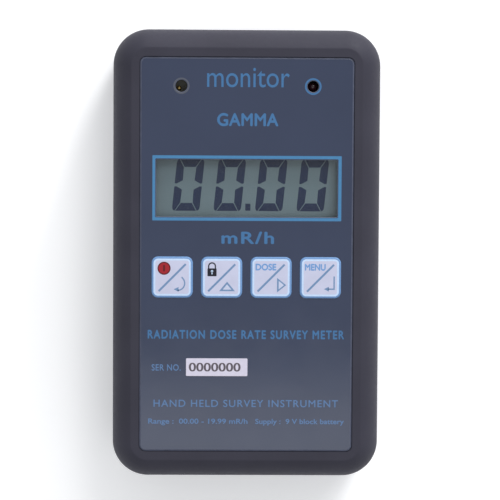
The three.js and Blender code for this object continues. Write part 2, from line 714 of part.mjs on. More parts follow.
function tubeClip(name, x) {
  const inner = TUBE.radius + CLIP.play;
  const outer = inner + CLIP.thickness;
  const mouth = THREE.MathUtils.degToRad(CLIP.mouthDegrees);
  const half = CLIP.width / 2;
  const spring = new THREE.Shape();
  spring.absarc(0, 0, outer, mouth, 2 * Math.PI - mouth, false);
  spring.absarc(0, 0, inner, 2 * Math.PI - mouth, mouth, true);
  const band = solid(extrude(spring, -half, half, 9).rotateY(Math.PI / 2));
  const stalkTop = BOARD_BOTTOM - TUBE.z - GLUE;
  const stalk = block(-half, half, -1.6, 1.6, inner + 0.15, stalkTop);
  const foot = block(-half, half, -3, 3, stalkTop - 0.5, stalkTop);
  const clip = mesh(name, join(band, stalk, foot), brass);
  clip.position.set(x, 0, 0);
  return clip;
}

function geigerTube() {
  const { radius, halfLength, sleeve, sleeveHalf } = TUBE;
  const body = turnedX([
    [0, -halfLength - 1.2], [radius * 0.55, -halfLength - 1], [radius, -halfLength + 1.2],
    [radius, halfLength - 0.6], [radius - 0.6, halfLength], [0, halfLength],
  ]);
  const sleeveBody = cut(
    rodX(sleeve, -sleeveHalf, sleeveHalf, 0, 0, 28),
    rodX(radius + 0.15, -sleeveHalf - BEYOND, sleeveHalf + BEYOND, 0, 0, 28),
  );
  const insulatorEnd = halfLength + 2.6;
  const insulator = turnedX([
    [0, halfLength + GLUE], [3, halfLength + GLUE], [3, halfLength + 1],
    [1.6, insulatorEnd], [0, insulatorEnd],
  ], 20);
  const pin = rodX(0.6, insulatorEnd + GLUE, halfLength + 4.8, 0, 0, 12);
  const resistorX = halfLength + 4.2;
  const boardFace = BOARD_BOTTOM - TUBE.z - GLUE;
  const resistor = join(
    rod(0.3, 0.6 + GLUE, boardFace, resistorX, 0, 8),
    rod(1.2, 1.6, boardFace - 1.2, resistorX, 0, 16),
  );
  const made = group(
    mesh("tube_body", body, steel),
    mesh("tube_filter_sleeve", sleeveBody, tin),
    mesh("tube_insulator", insulator, ceramicWhite),
    mesh("tube_anode_pin", pin, brass),
    mesh("anode_resistor", resistor, ceramicBlue),
    tubeClip("tube_clip_left", -CLIP.x),
    tubeClip("tube_clip_right", CLIP.x),
  );
  made.position.set(0, TUBE.y, TUBE.z);
  return made;
}

// ---- Battery, connector and leads ----

function batteryTerminals() {
  const face = BATTERY.length / 2 + GLUE;
  const half = TERMINALS.pitch / 2;
  const { stud: studRadius, socket, height } = TERMINALS;
  const stud = turnedX([
    [0, face], [3.6, face], [3.6, face + 0.4],
    [studRadius - 0.3, face + 0.6], [studRadius, face + height - 0.2], [0, face + height],
  ], 16);
  const ring = cut(
    rodX(socket, face, face + height, 0, 0, 6),
    rodX(studRadius, face + 0.7, face + height + BEYOND, 0, 0, 16),
  );
  const small = mesh("battery_terminal_plus", stud, tin);
  const large = mesh("battery_terminal_minus", ring, tin);
  small.position.y = half;
  large.position.y = -half;
  return [small, large];
}

function snapConnector() {
  const inner = BATTERY.length / 2 + 0.4;
  const half = TERMINALS.pitch / 2;
  const shape = roundedRect(new THREE.Shape(), 0, 0, SNAP.thickness, SNAP.width, SNAP.corner);
  const body = solid(extrude(shape, inner, inner + SNAP.depth, 3).rotateY(Math.PI / 2));
  const pocket = TERMINALS.socket + 0.3;
  const pockets = [-half, half].map((y) => rodX(pocket, inner - BEYOND, inner + 2.3, y, 0, 20));
  return mesh("snap_connector", cut(body, ...pockets), blackVinyl);
}

// An insulated lead along a smooth curve through its points.
function lead(name, points, material) {
  const extrudePath = new THREE.CatmullRomCurve3(points.map((point) => new THREE.Vector3(...point)));
  const section = circle(new THREE.Shape(), 0, 0, LEAD_RADIUS);
  const options = { steps: 2 * points.length, extrudePath, curveSegments: 2 };
  return mesh(name, new THREE.ExtrudeGeometry(section, options), material);
}

function leads() {
  const start = BATTERY.y + SNAP.width / 2 + 0.1;
  const plug = { x: 17, y: -12.7, z: BOARD_BOTTOM - 4.75, pitch: 2.5 };
  const plugLeft = plug.x - plug.pitch / 2;
  const plugRight = plug.x + plug.pitch / 2;
  return [
    lead("battery_lead_red", [
      [21.8, start, 12.4], [21.8, -22.2, 12.5], [22.2, -15, 12.8], [23.4, -8, 13.1], [20.4, -2.2, 13.1],
      [14.6, -1.8, 12.7], [11.2, -7.4, 12.6], [11.2, -15, 12.6], [13, -19.2, 12.6], [15.4, -18.4, plug.z],
      [plugLeft, -15.6, plug.z], [plugLeft, plug.y, plug.z],
    ], redVinyl),
    lead("battery_lead_black", [
      [21.8, start, 9.8], [21.8, -22.2, 9.8], [20.9, -19, 10.4], [18.9, -17.6, 11.8],
      [plugRight, -15.6, plug.z], [plugRight, plug.y, plug.z],
    ], blackVinyl),
  ];
}

function power() {
  const { x, y, z, length, width, thickness } = BATTERY;
  const section = roundedRect(new THREE.Shape(), 0, 0, thickness, width, 1.8);
  const jacket = extrude(section, -length / 2, length / 2);
  const battery = group(
    mesh("battery_body", jacket.rotateY(Math.PI / 2), batteryJacket),
    ...batteryTerminals(),
    snapConnector(),
  );
  battery.position.set(x, y, z);
  return group(battery, ...leads());
}

// ---- Assembly ----

const meter = group(
  casing(),
  graphicPanel(),
  displayLens(),
  serialLabel(),
  keyboard(),
  displayModule(),
  circuitBoard(),
  ...boardScrews(),
  alarmLamp(),
  sounder(),
  transformer(),
  discCapacitor("high_voltage_capacitor_1", 4, 31.5),
  discCapacitor("high_voltage_capacitor_2", 10, 31.5),
  processor(),
  crystal(),
  reservoirCapacitor(),
  regulator(),
  trimmer(),
  leadHeader(),
  geigerTube(),
  power(),
);

export default meter;
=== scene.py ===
"""Looks for the pocket dose-rate meter. It lies on its back: +Z out of the front panel, +Y towards the
sounder and the alarm lamp. Shapes are drawn in millimetres and stored in metres."""
from math import atan2, cos, pi, radians, sin, tan

import bmesh
import bpy
from mathutils import Matrix, Vector


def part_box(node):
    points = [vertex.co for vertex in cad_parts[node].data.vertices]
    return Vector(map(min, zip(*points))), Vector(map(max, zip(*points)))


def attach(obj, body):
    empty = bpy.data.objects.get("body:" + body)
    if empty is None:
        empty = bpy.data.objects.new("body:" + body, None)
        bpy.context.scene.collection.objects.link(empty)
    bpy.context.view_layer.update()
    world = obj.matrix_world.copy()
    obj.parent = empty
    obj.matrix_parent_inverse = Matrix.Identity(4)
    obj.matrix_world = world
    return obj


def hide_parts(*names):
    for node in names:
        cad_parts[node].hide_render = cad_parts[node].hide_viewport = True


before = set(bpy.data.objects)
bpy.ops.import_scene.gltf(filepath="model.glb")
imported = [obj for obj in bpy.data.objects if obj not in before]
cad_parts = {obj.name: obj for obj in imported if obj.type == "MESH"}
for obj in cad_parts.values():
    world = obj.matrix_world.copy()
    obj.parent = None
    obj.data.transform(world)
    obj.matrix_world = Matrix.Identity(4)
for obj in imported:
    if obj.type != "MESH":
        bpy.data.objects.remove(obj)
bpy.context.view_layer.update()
MM = 0.001


# ---- Sizes in millimetres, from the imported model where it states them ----

def box_mm(node):
    """Lowest and highest corner of a CAD node, in millimetres."""
    low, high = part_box(node)
    return low / MM, high / MM


def middle(node):
    low, high = box_mm(node)
    return (low + high) / 2


FRONT_LOW, FRONT_HIGH = box_mm("front_shell")
PANEL_LOW, PANEL_HIGH = box_mm("graphic_panel")
LENS_LOW, LENS_HIGH = box_mm("display_lens")
REAR_HIGH = box_mm("rear_shell")[1]
DOOR_HIGH = box_mm("battery_door")[1]
WIDTH = FRONT_HIGH.x - FRONT_LOW.x
LENGTH = FRONT_HIGH.y - FRONT_LOW.y
HEIGHT = FRONT_HIGH.z
SPLIT = 14.0  # height of the seam between the shells
SEAM = 0.1
CORNER = 9.0  # corner radius of the case in plan
WALL = 2.2
DRAFT = 0.25
EDGE_WIDTH = 4.7  # of the rounding round the front, measured across and down
EDGE_DROP = 7.0
EDGE_START = HEIGHT - EDGE_DROP
FLOOR = 2.2
CEILING = HEIGHT - 2.8
SEAT_GAP = 0.05  # between a part and the face that it rests on
RECESS = PANEL_LOW.z - SEAT_GAP
BOSS_RADIUS = 3.2
BAY_WALL = (-24.2, -22.6)  # from and to, along y
DOOR_HALF = 27.0
DOOR_GAP = 0.2
RAIL = 1.3  # how far the door's rails stand out
DOOR_TOP = DOOR_HIGH.y - RAIL
OVERLAP = 0.5  # how far joined solids reach into each other
BEYOND = 1.0  # how far a cutter reaches past the face that it opens
PANEL_WIDTH = PANEL_HIGH.x - PANEL_LOW.x
PANEL_LENGTH = PANEL_HIGH.y - PANEL_LOW.y
PANEL_TOP = PANEL_HIGH.z
PANEL_CORNER = 1.5
PANEL_GAP = 0.12
WINDOW_WIDTH = 44.7
WINDOW_LENGTH = 14.1
WINDOW_Y = middle("display_lens").y
PORT = middle("sounder_plate")
LAMP = middle("alarm_lamp")
KEYS = ("power", "lock_up", "dose_right", "menu_enter")
KEY_SIZE = 10.2
KEY_CORNER = 1.6
KEY_TOP = box_mm("key_pad_power")[1].z - 0.02  # lowered for the printing on it
CASE_SCREWS = [middle(f"case_screw_{k}") for k in (1, 2, 3, 4)]
BOARD_SCREWS = [middle(f"board_screw_{k}") for k in (1, 2, 3, 4)]
BOARD_TOP = box_mm("circuit_board")[1].z
INK = 0.012  # thickness of one printed layer
PRINT_BASE = PANEL_TOP - 0.002
WELD = 1e-7  # metres within which points are one point
CURVED = 20  # degrees: edges below this are part of a curve
WAVE_RATE = 20  # radians by which the wave texture turns per unit of length and scale


# ---- Material nodes ----

class Surface:
    """A procedural material: a Principled shader and helpers that feed it. Their sizes are in millimetres."""

    def __init__(self, name, colour, roughness, metallic=0.0, **inputs):
        self.material = bpy.data.materials.new(name)
        self.material.use_nodes = True
        self.nodes = self.material.node_tree.nodes
        self.links = self.material.node_tree.links
        self.shader = self.nodes["Principled BSDF"]
        self.colour = colour
        self.shader.inputs["Base Color"].default_value = (*colour, 1)
        self.shader.inputs["Roughness"].default_value = roughness
        self.shader.inputs["Metallic"].default_value = metallic
        for label, value in inputs.items():
            self.shader.inputs[label.replace("_", " ")].default_value = value
        self.place = self.nodes.new("ShaderNodeTexCoord").outputs["Object"]
        self.mix = None
        self.normal = None

    def noise(self, size, detail=2, stretch=None):
        """A noise with features of about this size; stretch scales its axes."""
        texture = self.nodes.new("ShaderNodeTexNoise")
        texture.inputs["Scale"].default_value = 1 / (size * MM)
        texture.inputs["Detail"].default_value = detail
        source = self.place
        if stretch:
            mapping = self.nodes.new("ShaderNodeMapping")
            mapping.inputs["Scale"].default_value = stretch
            self.links.new(source, mapping.inputs["Vector"])
            source = mapping.outputs["Vector"]
        self.links.new(source, texture.inputs["Vector"])
        return texture.outputs["Fac"]

    def cells(self, size):
        texture = self.nodes.new("ShaderNodeTexVoronoi")
        texture.inputs["Scale"].default_value = 1 / (size * MM)
        self.links.new(self.place, texture.inputs["Vector"])
        return texture.outputs["Distance"]

    def wave(self, pitch, axis):
        texture = self.nodes.new("ShaderNodeTexWave")
        texture.bands_direction = axis
        texture.inputs["Scale"].default_value = 2 * pi / (WAVE_RATE * pitch * MM)
        self.links.new(self.place, texture.inputs["Vector"])
        return texture.outputs["Fac"]

    def span(self, value, before, after=(0, 1)):
        """Maps the range before onto the range after, and holds values to it."""
        ramp = self.nodes.new("ShaderNodeMapRange")
        for side, start, end in (("Min", before[0], after[0]), ("Max", before[1], after[1])):
            ramp.inputs[f"From {side}"].default_value = start
            ramp.inputs[f"To {side}"].default_value = end
        self.links.new(value, ramp.inputs["Value"])
        return ramp.outputs["Result"]

    def tint(self, factor, other):
        """Mixes another colour over what is there, by factor."""
        mixer = self.nodes.new("ShaderNodeMix")
        mixer.data_type = "RGBA"
        mixer.inputs["A"].default_value = (*self.colour, 1)
        mixer.inputs["B"].default_value = (*other, 1)
        if self.mix is not None:
            self.links.new(self.mix, mixer.inputs["A"])
        self.links.new(factor, mixer.inputs["Factor"])
        self.mix = mixer.outputs["Result"]
        self.links.new(self.mix, self.shader.inputs["Base Color"])
        return self

    def mottle(self, size, amount):
        """Lighter and darker patches, amount being how much lighter the light ones are."""
        lift = 0.002 * amount  # for black, which no factor makes lighter
        lighter = [min(1.0, c * (1 + amount) + lift) for c in self.colour]
        return self.tint(self.span(self.noise(size, detail=4), before=(0.35, 0.65)), lighter)

    def rough(self, size, low, high):
        value = self.span(self.noise(size, detail=4), before=(0.3, 0.7), after=(low, high))
        self.links.new(value, self.shader.inputs["Roughness"])
        return self

    def relief(self, height, depth):
        """Bumps that come on top of those that are there."""
        bump = self.nodes.new("ShaderNodeBump")
        bump.inputs["Distance"].default_value = depth * MM
        self.links.new(height, bump.inputs["Height"])
        if self.normal is not None:
            self.links.new(self.normal, bump.inputs["Normal"])
        self.normal = bump.outputs["Normal"]
        self.links.new(self.normal, self.shader.inputs["Normal"])
        return self


def case_plastic():
    """Dark grey moulded plastic with a fine spark-eroded grain."""
    made = Surface("case_plastic", (0.0375, 0.0365, 0.0515), roughness=0.58, Specular_IOR_Level=0.18)
    made.mottle(size=14, amount=0.12)
    made.rough(size=0.9, low=0.53, high=0.63)
    made.relief(made.noise(0.42), depth=0.028)
    made.relief(made.noise(0.16), depth=0.010)
    return made.material


def case_edge_wear_and_highlight():
    """The same plastic on every bevelled edge, smoother and a little paler: partly rubbed by handling, partly
    a painted highlight along the edges; paler still in places.
    """
    made = Surface("case_edge_wear_and_highlight", (0.042, 0.041, 0.056), roughness=0.4, Specular_IOR_Level=0.2)
    # The paler colour on all edges is partly wear and partly a painted edge highlight.
    paler_patches = made.span(made.noise(5, detail=4), before=(0.4, 0.65))
    made.tint(paler_patches, (0.052, 0.052, 0.064))
    made.rough(size=1.5, low=0.34, high=0.46)
    made.relief(made.noise(0.42), depth=0.010)
    return made.material


def panel_film():
    """Slate-blue polycarbonate film, satin, with a very fine velvet texture."""
    made = Surface("panel_film", (0.030, 0.041, 0.080), roughness=0.12, Specular_IOR_Level=0.5)
    made.mottle(size=22, amount=0.08)
    made.rough(size=6, low=0.10, high=0.14)
    made.relief(made.noise(0.22), depth=0.0012)
    made.relief(made.noise(9), depth=0.012)
    return made.material


def film_edge_highlight():
    # A paler blue-grey for the film's sloped edges: a painted highlight where the cut edge catches the light.
    made = Surface("film_edge_highlight", (0.082, 0.092, 0.138), roughness=0.45)
    made.mottle(size=1.5, amount=0.25)
    made.relief(made.noise(0.2), depth=0.004)
    return made.material


def ink(name, colour, roughness=0.45):
    """Screen-printed ink, with the slight mesh of the screen in it."""
    made = Surface(name, colour, roughness, Specular_IOR_Level=0.3)
    made.mottle(size=0.6, amount=0.07)
    made.relief(made.cells(0.12), depth=0.002)
    return made.material


def key_white():
    made = Surface("key_white", (0.52, 0.535, 0.685), roughness=0.42)
    made.mottle(size=3, amount=0.05)
    made.rough(size=2.5, low=0.38, high=0.48)
    made.relief(made.noise(0.22), depth=0.0025)
    return made.material


def label_stock():
    made = Surface("label_stock", (0.61, 0.58, 0.69), roughness=0.7)
    made.mottle(size=0.8, amount=0.06)
    made.relief(made.noise(0.15, detail=4), depth=0.006)
    return made.material


def lens_plastic():
    """Clear flat window: both of its faces reflect more at a glancing angle and let the rest through."""
    least_gloss, steepness = 0.021, 5
    made = Surface("lens_plastic", (0.9, 0.93, 0.95), roughness=0.05)
    gloss = made.nodes.new("ShaderNodeBsdfGlossy")
    gloss.inputs["Roughness"].default_value = 0.06
    clear = made.nodes.new("ShaderNodeBsdfTransparent")
    clear.inputs["Color"].default_value = (0.985, 0.985, 0.985, 1)
    angle = made.nodes.new("ShaderNodeLayerWeight")
    angle.inputs["Blend"].default_value = 0.5
    glance = made.nodes.new("ShaderNodeMath")
    glance.operation = "POWER"
    glance.inputs[1].default_value = steepness
    made.links.new(angle.outputs["Facing"], glance.inputs[0])
    mixer = made.nodes.new("ShaderNodeMixShader")
    share = made.span(glance.outputs[0], before=(0, 1), after=(least_gloss, 1))
    made.links.new(share, mixer.inputs["Fac"])
    made.links.new(clear.outputs["BSDF"], mixer.inputs[1])
    made.links.new(gloss.outputs["BSDF"], mixer.inputs[2])
    made.links.new(mixer.outputs["Shader"], made.nodes["Material Output"].inputs["Surface"])
    made.relief(made.noise(12), depth=0.01)
    made.links.new(made.normal, gloss.inputs["Normal"])
    return made.material


def display_face():
    """The display's front polariser over its grey reflector: dull green-grey with a cloudy tint."""
    made = Surface("display_face", (0.121, 0.178, 0.202), roughness=0.32)
    clouds = made.span(made.noise(16), before=(0.35, 0.65))
    made.tint(clouds, (0.111, 0.166, 0.184))
    made.relief(made.noise(0.1), depth=0.002)
    return made.material


def plain_plastic(name, colour, roughness=0.5, grain=0.3):
    spread = 0.07
    made = Surface(name, colour, roughness)
    made.mottle(size=4, amount=0.15)
    made.rough(size=1.2, low=roughness - spread, high=roughness + spread)
    made.relief(made.noise(grain), depth=0.008)
    return made.material


def metal(name, colour, roughness, brushed=None):
    """Plated or bare metal with fine tool marks and a little tarnish."""
    darker, smoothest, roughest = 0.62, roughness - 0.08, roughness + 0.12
    made = Surface(name, colour, roughness, metallic=1.0)
    tarnish = made.span(made.noise(2.2, detail=5), before=(0.45, 0.75), after=(0, 0.6))
    made.tint(tarnish, [c * darker for c in colour])
    made.rough(size=0.7, low=smoothest, high=roughest)
    made.relief(made.noise(0.35, detail=3, stretch=brushed), depth=0.004)
    return made.material


def laminate():
    """Green solder mask over glass cloth and copper tracks."""
    made = Surface("laminate", (0.012, 0.105, 0.036), roughness=0.32)
    tracks = made.span(made.cells(2.1), before=(0.42, 0.46))
    made.tint(tracks, (0.02, 0.17, 0.055))
    made.relief(made.wave(0.7, "X"), depth=0.004)
    made.relief(made.wave(0.7, "Y"), depth=0.004)
    made.relief(tracks, depth=0.02)
    return made.material


def red_epoxy():
    made = Surface("red_epoxy", (0.022, 0.004, 0.008), roughness=0.2)
    made.mottle(size=1.5, amount=0.2)
    made.relief(made.noise(1.2), depth=0.01)
    return made.material


def floor_paint():
    """White, and lit a little from within like a light table, so that it photographs as white."""
    made = Surface("floor_paint", (0.955, 0.955, 0.96), roughness=0.7)
    made.shader.inputs["Emission Color"].default_value = (1, 1, 1, 1)
    made.shader.inputs["Emission Strength"].default_value = 0.22
    made.mottle(size=60, amount=0.02)
    made.relief(made.noise(1.5, detail=3), depth=0.02)
    return made.material


CASE = case_plastic()
CASE_EDGE_WEAR_AND_HIGHLIGHT = case_edge_wear_and_highlight()
FILM = panel_film()
FILM_EDGE_HIGHLIGHT = film_edge_highlight()
BLUE_INK = ink("blue_ink", (0.048, 0.148, 0.315))
SMALL_INK = ink("small_ink", (0.095, 0.185, 0.36))
FRAME_INK = ink("frame_ink", (0.055, 0.195, 0.38))
KEY_INK = ink("key_ink", (0.15, 0.28, 0.52))
PALE_INK = ink("pale_ink", (0.52, 0.66, 0.86))
LINE_INK = ink("line_ink", (0.15, 0.25, 0.42))
WORD_INK = ink("word_ink", (0.15, 0.30, 0.58))
BLACK_INK = ink("black_ink", (0.008, 0.009, 0.018))
FACE_INK = ink("face_ink", (0.52, 0.56, 0.71))
RED_INK = ink("red_ink", (0.32, 0.010, 0.018))
DARK_RED_INK = ink("dark_red_ink", (0.10, 0.004, 0.007))
LABEL_INK = ink("label_ink", (0.095, 0.080, 0.095))
# The port's pale ring is not printed: its colour is a painted highlight where the port's edge catches the
# light.
PORT_RIM_HIGHLIGHT = ink("port_rim_highlight", (0.080, 0.088, 0.115))
SEGMENT_INK = ink("segment_ink", (0.001, 0.012, 0.050), roughness=0.4)
KEY_WHITE = key_white()
LABEL = label_stock()
LENS = lens_plastic()
DISPLAY = display_face()
BLACK_PLASTIC = plain_plastic("black_plastic", (0.014, 0.014, 0.016))
WHITE_PLASTIC = plain_plastic("white_plastic", (0.62, 0.59, 0.52))
BLUE_LACQUER = plain_plastic("blue_lacquer", (0.02, 0.1, 0.36), roughness=0.35)
TRIMMER_BLUE = plain_plastic("trimmer_blue", (0.02, 0.075, 0.3), roughness=0.4)
YELLOW_TAPE = plain_plastic("yellow_tape", (0.58, 0.36, 0.03), roughness=0.35)
FERRITE = plain_plastic("ferrite", (0.03, 0.027, 0.025), roughness=0.75, grain=0.6)
RED_VINYL = plain_plastic("red_vinyl", (0.36, 0.012, 0.012), roughness=0.45)
BLACK_VINYL = plain_plastic("black_vinyl", (0.01, 0.01, 0.011), roughness=0.45)
JACKET = plain_plastic("jacket", (0.018, 0.02, 0.026), roughness=0.3)
GOLD = metal("gold_band", (0.62, 0.40, 0.12), roughness=0.3)
ZINC = metal("zinc", (0.56, 0.57, 0.60), roughness=0.3)
TIN = metal("tin", (0.58, 0.58, 0.56), roughness=0.34)
STEEL = metal("tube_steel", (0.50, 0.50, 0.51), roughness=0.3, brushed=(0.08, 1, 1))
BRASS = metal("brass", (0.50, 0.36, 0.13), roughness=0.36)
CERAMIC = plain_plastic("sounder_ceramic", (0.11, 0.11, 0.085), roughness=0.55)
LAMINATE = laminate()
RED_EPOXY = red_epoxy()


# ---- Mesh helpers ----

def placed(name, data):
    made = bpy.data.objects.new(name, data)
    bpy.context.scene.collection.objects.link(made)
    return made


def mesh_object(name, points, faces):
    data = bpy.data.meshes.new(name)
    data.from_pydata([Vector(point) * MM for point in points], [], faces)
    return placed(name, data)


def rounded(width, length, corner, steps=8, x=0.0, y=0.0):
    """Points of a rounded rectangle, anticlockwise; with a corner of half its size it is a circle."""
    same = 1e-6
    points = []
    for quarter, (side_x, side_y) in enumerate(((1, 1), (-1, 1), (-1, -1), (1, -1))):
        for step in range(steps + 1):
            angle = (quarter + step / steps) * pi / 2
            point = Vector((
                x + side_x * (width / 2 - corner) + corner * cos(angle),
                y + side_y * (length / 2 - corner) + corner * sin(angle),
            ))
            if not points or (point - points[-1]).length > same:
                points.append(point)
    if (points[0] - points[-1]).length < same:
        points.pop()
    return points


def circle(radius, x, y, steps=12):
    return rounded(2 * radius, 2 * radius, radius, steps, x, y)


def stack(name, rings):
    """A closed solid through rings of equal point count, each (points, height), from the bottom up."""
    count = len(rings[0][0])
    points = [(p[0], p[1], height) for ring, height in rings for p in ring]
    faces = [tuple(reversed(range(count)))]
    for level in range(len(rings) - 1):
        for k in range(count):
            low = level * count + k
            low_next = level * count + (k + 1) % count
            faces.append((low, low_next, low_next + count, low + count))
    faces.append(tuple(range((len(rings) - 1) * count, len(rings) * count)))
    return mesh_object(name, points, faces)


def prism(name, outline, low, high):
    return stack(name, [(outline, low), (outline, high)])


def band(name, outer, inner, low, high):
    """A flat ring between two outlines of equal point count."""
    count = len(outer)
    points = [(p[0], p[1], z) for z in (low, high) for ring in (outer, inner) for p in ring]
    faces = []
    for k in range(count):
        n = (k + 1) % count
        faces.append((k, k + count, n + count, n))
        faces.append((k + 2 * count, n + 2 * count, n + 3 * count, k + 3 * count))
        faces.append((k, n, n + 2 * count, k + 2 * count))
        faces.append((k + count, k + 3 * count, n + 3 * count, n + count))
    return mesh_object(name, points, faces)


def cuboid(x0, x1, y0, y1, z0, z1):
    return prism("cuboid", [(x0, y0), (x1, y0), (x1, y1), (x0, y1)], z0, z1)


def drum(radius, low, high, x, y, steps=12):
    return prism("drum", circle(radius, x, y, steps), low, high)


def evaluated_mesh(obj):
    graph = bpy.context.evaluated_depsgraph_get()
    return bpy.data.meshes.new_from_object(obj.evaluated_get(graph), depsgraph=graph)


def settle(obj):
    """Applies an object's modifiers to its mesh."""
    made = evaluated_mesh(obj)
    obj.modifiers.clear()
    old = obj.data
    obj.data = made
    bpy.data.meshes.remove(old)
    return obj


def combine(obj, operation, tools):
    for tool in tools:
        boolean = obj.modifiers.new("combine", "BOOLEAN")
        boolean.operation = operation
        boolean.solver = "MANIFOLD"
        boolean.object = tool
        settle(obj)
        bpy.data.objects.remove(tool)
    return obj


def tidy(obj, flat=0.6, delimit=("MATERIAL",)):
    """Merges neighbouring faces that are within flat degrees of one plane, such as booleans leave."""
    work = bmesh.new()
    work.from_mesh(obj.data)
    bmesh.ops.remove_doubles(work, verts=work.verts, dist=WELD)
    bmesh.ops.dissolve_limit(
        work, angle_limit=radians(flat), verts=work.verts, edges=work.edges, delimit=set(delimit),
    )
    work.to_mesh(obj.data)
    work.free()
    return obj


def smooth(obj, angle=CURVED):
    obj.data.polygons.foreach_set("use_smooth", [True] * len(obj.data.polygons))
    obj.data.set_sharp_from_angle(angle=radians(angle))
    return obj


def soften(obj, width, angle=CURVED, material=-1):
    """Rounds the sharp edges by width, in millimetres, and shades the rest smooth."""
    smooth(obj, angle)
    bevel = obj.modifiers.new("soften", "BEVEL")
    bevel.width = width * MM
    bevel.segments = 2
    bevel.limit_method = "ANGLE"
    bevel.angle_limit = radians(angle)
    bevel.material = material
    weights = obj.modifiers.new("weights", "WEIGHTED_NORMAL")
    weights.keep_sharp = True
    weights.weight = 100
    return settle(obj)


def piece(obj, name, body, finishes, replaces=()):
    """Names a finished piece, puts it on the body that it rides on, gives it its finishes and hides the CAD
    nodes that it stands in for. Its faces' material indices count along finishes."""
    obj.name = name
    obj.data.name = name
    while len(obj.data.materials) < len(finishes):
        obj.data.materials.append(None)
    for index, finish in enumerate(finishes):
        obj.data.materials[index] = finish
    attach(obj, body)
    if replaces:
        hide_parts(*replaces)
    return obj


# ---- Casing ----

def case_rings(levels, steps=20):
    """Rings of the case's plan at each (height, inset)."""
    return [
        (rounded(WIDTH - 2 * inset, LENGTH - 2 * inset, CORNER - inset, steps), height)
        for height, inset in levels
    ]


def front_levels():
    """Up the wall, round the edge and over a slightly softened crease to the flat rim."""
    steps, crease = 18, 0.22
    sweep = 2 * atan2(EDGE_WIDTH, EDGE_DROP)
    radius = EDGE_DROP / sin(sweep)
    levels = [(SPLIT + SEAM / 2, 0.0)]
    last = sweep - crease / radius
    for step in range(steps + 1):
        angle = last * step / steps
        levels.append((EDGE_START + radius * sin(angle), DRAFT / 2 + radius * (1 - cos(angle))))
    start = Vector(levels[-1])
    corner = Vector((HEIGHT, DRAFT / 2 + EDGE_WIDTH))
    end = corner + Vector((0, crease))
    for step in (0.25, 0.5, 0.75, 1.0):
        levels.append(tuple(start.lerp(corner, step).lerp(corner.lerp(end, step), step)))
    return levels


def rear_levels():
    """Round the rear edge and up the wall, which leans out to the seam."""
    radius, steps = 2.0, 8
    levels = []
    for step in range(steps + 1):
        angle = pi / 2 * step / steps
        levels.append((radius * (1 - cos(angle)), DRAFT + radius * (1 - sin(angle))))
    levels.append((SPLIT - SEAM / 2, 0.0))
    return levels


def key_middles():
    return [middle(f"key_pad_{name}") for name in KEYS]


def hollow_front():
    """The front shell before it is cut: hollow, with bosses, posts and ribs that hold the battery."""
    lip_inset, lip_depth = 1.1, 1.5
    post_radius, board_gap = 2.5, 0.05
    rib_half, rib_start, rib_end, rib_low = 0.7, -50, -27, 20.2
    rib_places = (-18, 12)
    root = CEILING + OVERLAP
    cavity = stack("cavity", case_rings([
        (SPLIT - BEYOND, WALL), (EDGE_START, WALL + 0.15),
        (EDGE_START + 2.6, WALL + 0.8), (CEILING, WALL + 2.1),
    ], 8))
    lip = [(SPLIT - BEYOND, lip_inset), (SPLIT + lip_depth, lip_inset)]
    rabbet = stack("rabbet", case_rings(lip, 12))
    bosses = [drum(BOSS_RADIUS, SPLIT + SEAM / 2, root, p.x, p.y) for p in CASE_SCREWS]
    posts = [drum(post_radius, BOARD_TOP + board_gap, root, p.x, p.y) for p in BOARD_SCREWS]
    ribs = [cuboid(x - rib_half, x + rib_half, rib_start, rib_end, rib_low, root) for x in rib_places]
    body = stack("front_casing", case_rings(front_levels()))
    combine(body, "DIFFERENCE", [cavity, rabbet])
    return combine(body, "UNION", bosses + posts + ribs)


def front_casing():
    """The front shell, cut for the panel, the window, the lamp, the port, the keys and the screws."""
    seat_margin, sight_margin = 0.4, 0.6
    lamp_hole, port_hole, plunger_hole = 1.6, 1.5, 2.1
    pocket_gap, pocket_depth = 0.25, 0.85
    case_pilot, case_pilot_end = 1.5, CEILING - 1.5
    board_pilot, board_pilot_end = 1.15, CEILING - 0.8
    body = hollow_front()
    slot_width = PANEL_WIDTH + 2 * PANEL_GAP
    slot_length = PANEL_LENGTH + 2 * PANEL_GAP
    slot = rounded(slot_width, slot_length, PANEL_CORNER + PANEL_GAP)
    lens_size = LENS_HIGH - LENS_LOW
    seat = rounded(lens_size.x + seat_margin, lens_size.y + seat_margin, corner=0.5, steps=4, y=WINDOW_Y)
    sight_width, sight_length = WINDOW_WIDTH + sight_margin, WINDOW_LENGTH + sight_margin
    sight = rounded(sight_width, sight_length, corner=0.3, steps=4, y=WINDOW_Y)
    below = CEILING - BEYOND
    cuts = [
        prism("recess", slot, RECESS, HEIGHT + BEYOND),
        prism("seat", seat, LENS_LOW.z - SEAT_GAP, HEIGHT),
        prism("sight", sight, below, HEIGHT),
        drum(lamp_hole, below, HEIGHT, LAMP.x, LAMP.y),
        drum(port_hole, below, HEIGHT, PORT.x, PORT.y),
    ]
    pocket_size = KEY_SIZE + 2 * pocket_gap
    for p in key_middles():
        pocket = rounded(pocket_size, pocket_size, KEY_CORNER + pocket_gap, 8, p.x, p.y)
        cuts.append(prism("pocket", pocket, RECESS - pocket_depth, HEIGHT))
        cuts.append(drum(plunger_hole, below, HEIGHT, p.x, p.y))
    cuts += [drum(case_pilot, SPLIT - BEYOND, case_pilot_end, p.x, p.y, 6) for p in CASE_SCREWS]
    cuts += [drum(board_pilot, BOARD_TOP - BEYOND, board_pilot_end, p.x, p.y, 6) for p in BOARD_SCREWS]
    combine(body, "DIFFERENCE", cuts)
    # Bevel faces get the paler edge finish: wear and a painted edge highlight.
    soften(tidy(body), width=0.14, material=1)
    return piece(body, "front_casing", "root", [CASE, CASE_EDGE_WEAR_AND_HIGHLIGHT], ["front_shell"])


